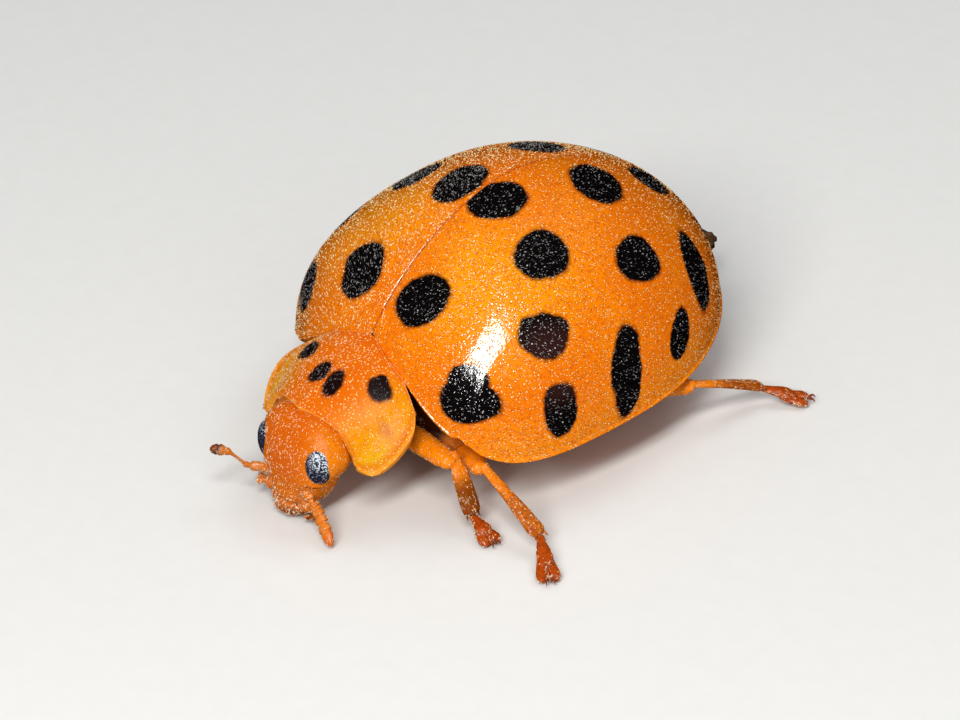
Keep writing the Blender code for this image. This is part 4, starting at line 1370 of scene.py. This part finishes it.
def makeTrunk():
    look = trunkLook
    belly = ball(look["segments"], look["rings"])
    for vert in belly.data.vertices:
        spread = min(math.hypot(vert.co.x, vert.co.y), 1.0)
        angle = np.float64(math.atan2(vert.co.y, vert.co.x))
        if vert.co.z > -1e-5:
            x, y, z = (float(v) for v in domePoint(angle, np.float64(spread), look["inset"]))
        else:
            x, y, rim = (float(v) for v in domePoint(angle, np.float64(1.0), look["inset"]))
            middle = dome["middleY"]
            x, y = x * spread, middle + (y - middle) * spread
            z = dome["marginZ"] + float(marginLift(y)) - 0.01 - look["depth"] * (1 - spread ** look["round"])
            for crease in look["creases"]:
                far = (y - crease + 0.10 * x * x) / look["creaseWidth"]
                z += look["creaseDepth"] * math.exp(-far ** 2) * (1 - spread ** 4)
            if y < look["seam"]["before"]:
                z += look["seam"]["depth"] * math.exp(-(x / look["seam"]["width"]) ** 2)
        vert.co = (x, y, z)
    pieces = [turnOut(belly), lump(*look["chest"], segments=40, rings=28),
              limb(*look["neck"], flat=0.64, segments=32)]
    pieces += [lump(*keel) for keel in look["keels"]]
    pieces += [sidedLump(side, *pair) for side in (1, -1) for pair in look["pairs"]]
    return smooth(join("trunk", pieces))


def makeTrunkMaterial():
    look = trunkLook["colours"]
    trunk = Finish("underside", look["pale"], Roughness=0.42, Specular_IOR_Level=0.15)
    x, y, z = trunk.parts()
    out = trunk.out(x)
    trunk.over(trunk.ease(trunk.noise(1.6), 0.3, 0.7), look["brown"])
    chest = trunk.times(trunk.ease(y, 2.8, 2.2), trunk.ease(out, 1.7, 1.1))
    chest = trunk.times(chest, trunk.ease(y, 0.4, 0.9))
    trunk.over(trunk.times(chest, 0.85), look["chest"])
    trunk.over(trunk.ease(trunk.noise(11.0), 0.4, 0.75, 0.0, 0.35), look["blotch"])
    # painted shade, dark where the wing cases and the neck shield cover it
    coveredShade = trunk.times(trunk.ease(z, 0.75, 1.0), trunk.ease(y, -1.0, -0.6))
    coveredShade = trunk.times(coveredShade, trunk.ease(out, 1.42, 1.22))
    trunk.over(trunk.times(coveredShade, trunk.ease(out, 0.30, 0.60)), look["coveredShade"])
    trunk.bump([(trunk.cells(13.0)["Distance"], 0.012), (trunk.noise(40.0), 0.006)])
    return trunk.done()


def trunkKeep(root, up):
    # only on the underside
    return (up[:, 2] < 0.1).astype(float), np.ones(len(root))


trunk = makeTrunk()
trunkCoat = growCoat("trunk_coat", trunk, trunkLook["coat"], towards(0, 1, 0), trunkKeep)
dress(trunk, makeTrunkMaterial(), "body", "prothorax", "thorax", "abdomen")
dress(trunkCoat, makeCoatMaterial("under down", *trunkLook["coat"]["tints"]), "body")
print("trunk made")


scutellumLook = {"corners": [(0.0, 0.25), (-0.165, 0.0), (0.165, 0.0)], "cuts": 7, "rise": 0.010,
                 "sink": -0.05, "rim": 0.012}
# each film is (lift, half width, half length)
wingLook = {"films": [(0.05, 0.42, 0.74), (-0.03, 0.46, 0.66)], "y": 6.10, "z": 1.05, "thick": 0.030,
            "pleats": 42, "pleatHeight": 0.020, "sideDroop": 0.12, "endDroop": 0.35, "droopFrom": 6.2,
            "dark": (0.075, 0.032, 0.014, 1), "pale": (0.16, 0.075, 0.035, 1)}


def makeScutellum():
    look = scutellumLook
    pickNothing()
    bpy.ops.mesh.primitive_circle_add(vertices=3, fill_type="NGON")
    plate = bpy.context.object
    for vert, (x, y) in zip(plate.data.vertices, look["corners"]):
        vert.co = (x, y, 0)
    editAll(plate)
    bpy.ops.mesh.subdivide(number_cuts=look["cuts"])
    bpy.ops.mesh.extrude_region_move(TRANSFORM_OT_translate={"value": (0, 0, 1)})
    bpy.ops.object.mode_set(mode="OBJECT")
    for vert in plate.data.vertices:
        vert.co.z = domeHeight(vert.co.x, vert.co.y) + look["rise" if vert.co.z > 0.5 else "sink"]
    turnOut(plate)
    addRoundedEdge(plate, look["rim"])
    applyAll(plate)
    plate.name = "scutellum_plate"
    return smooth(plate)


def makeWingTips():
    # two thin films folded on each other, with pleats running lengthwise
    look = wingLook
    pieces = []
    for lift, wide, long in look["films"]:
        film = lump((0, look["y"], look["z"] + lift), (wide, long, look["thick"]), segments=48, rings=32)
        for vert in film.data.vertices:
            past = max(vert.co.y - look["droopFrom"], 0)
            droop = look["sideDroop"] * vert.co.x ** 2 + look["endDroop"] * past ** 1.5
            vert.co.z += look["pleatHeight"] * math.sin(vert.co.x * look["pleats"] + lift * 30) - droop
        pieces.append(film)
    return smooth(join("wing_films", pieces))


def makeWingMaterial():
    wing = Finish("wing film", wingLook["dark"], Roughness=0.25, Coat_Weight=0.4)
    wing.over(wing.ease(wing.noise(5.0), 0.4, 0.6), wingLook["pale"])
    wing.bump([(wing.noise(12.0), 0.02)])
    return wing.done()


dress(makeWingTips(), makeWingMaterial(), "wing", "wing_tips")
dress(makeScutellum(), makeShellMaterial("left"), "shell", "scutellum")
print("scutellum and wing tips made")
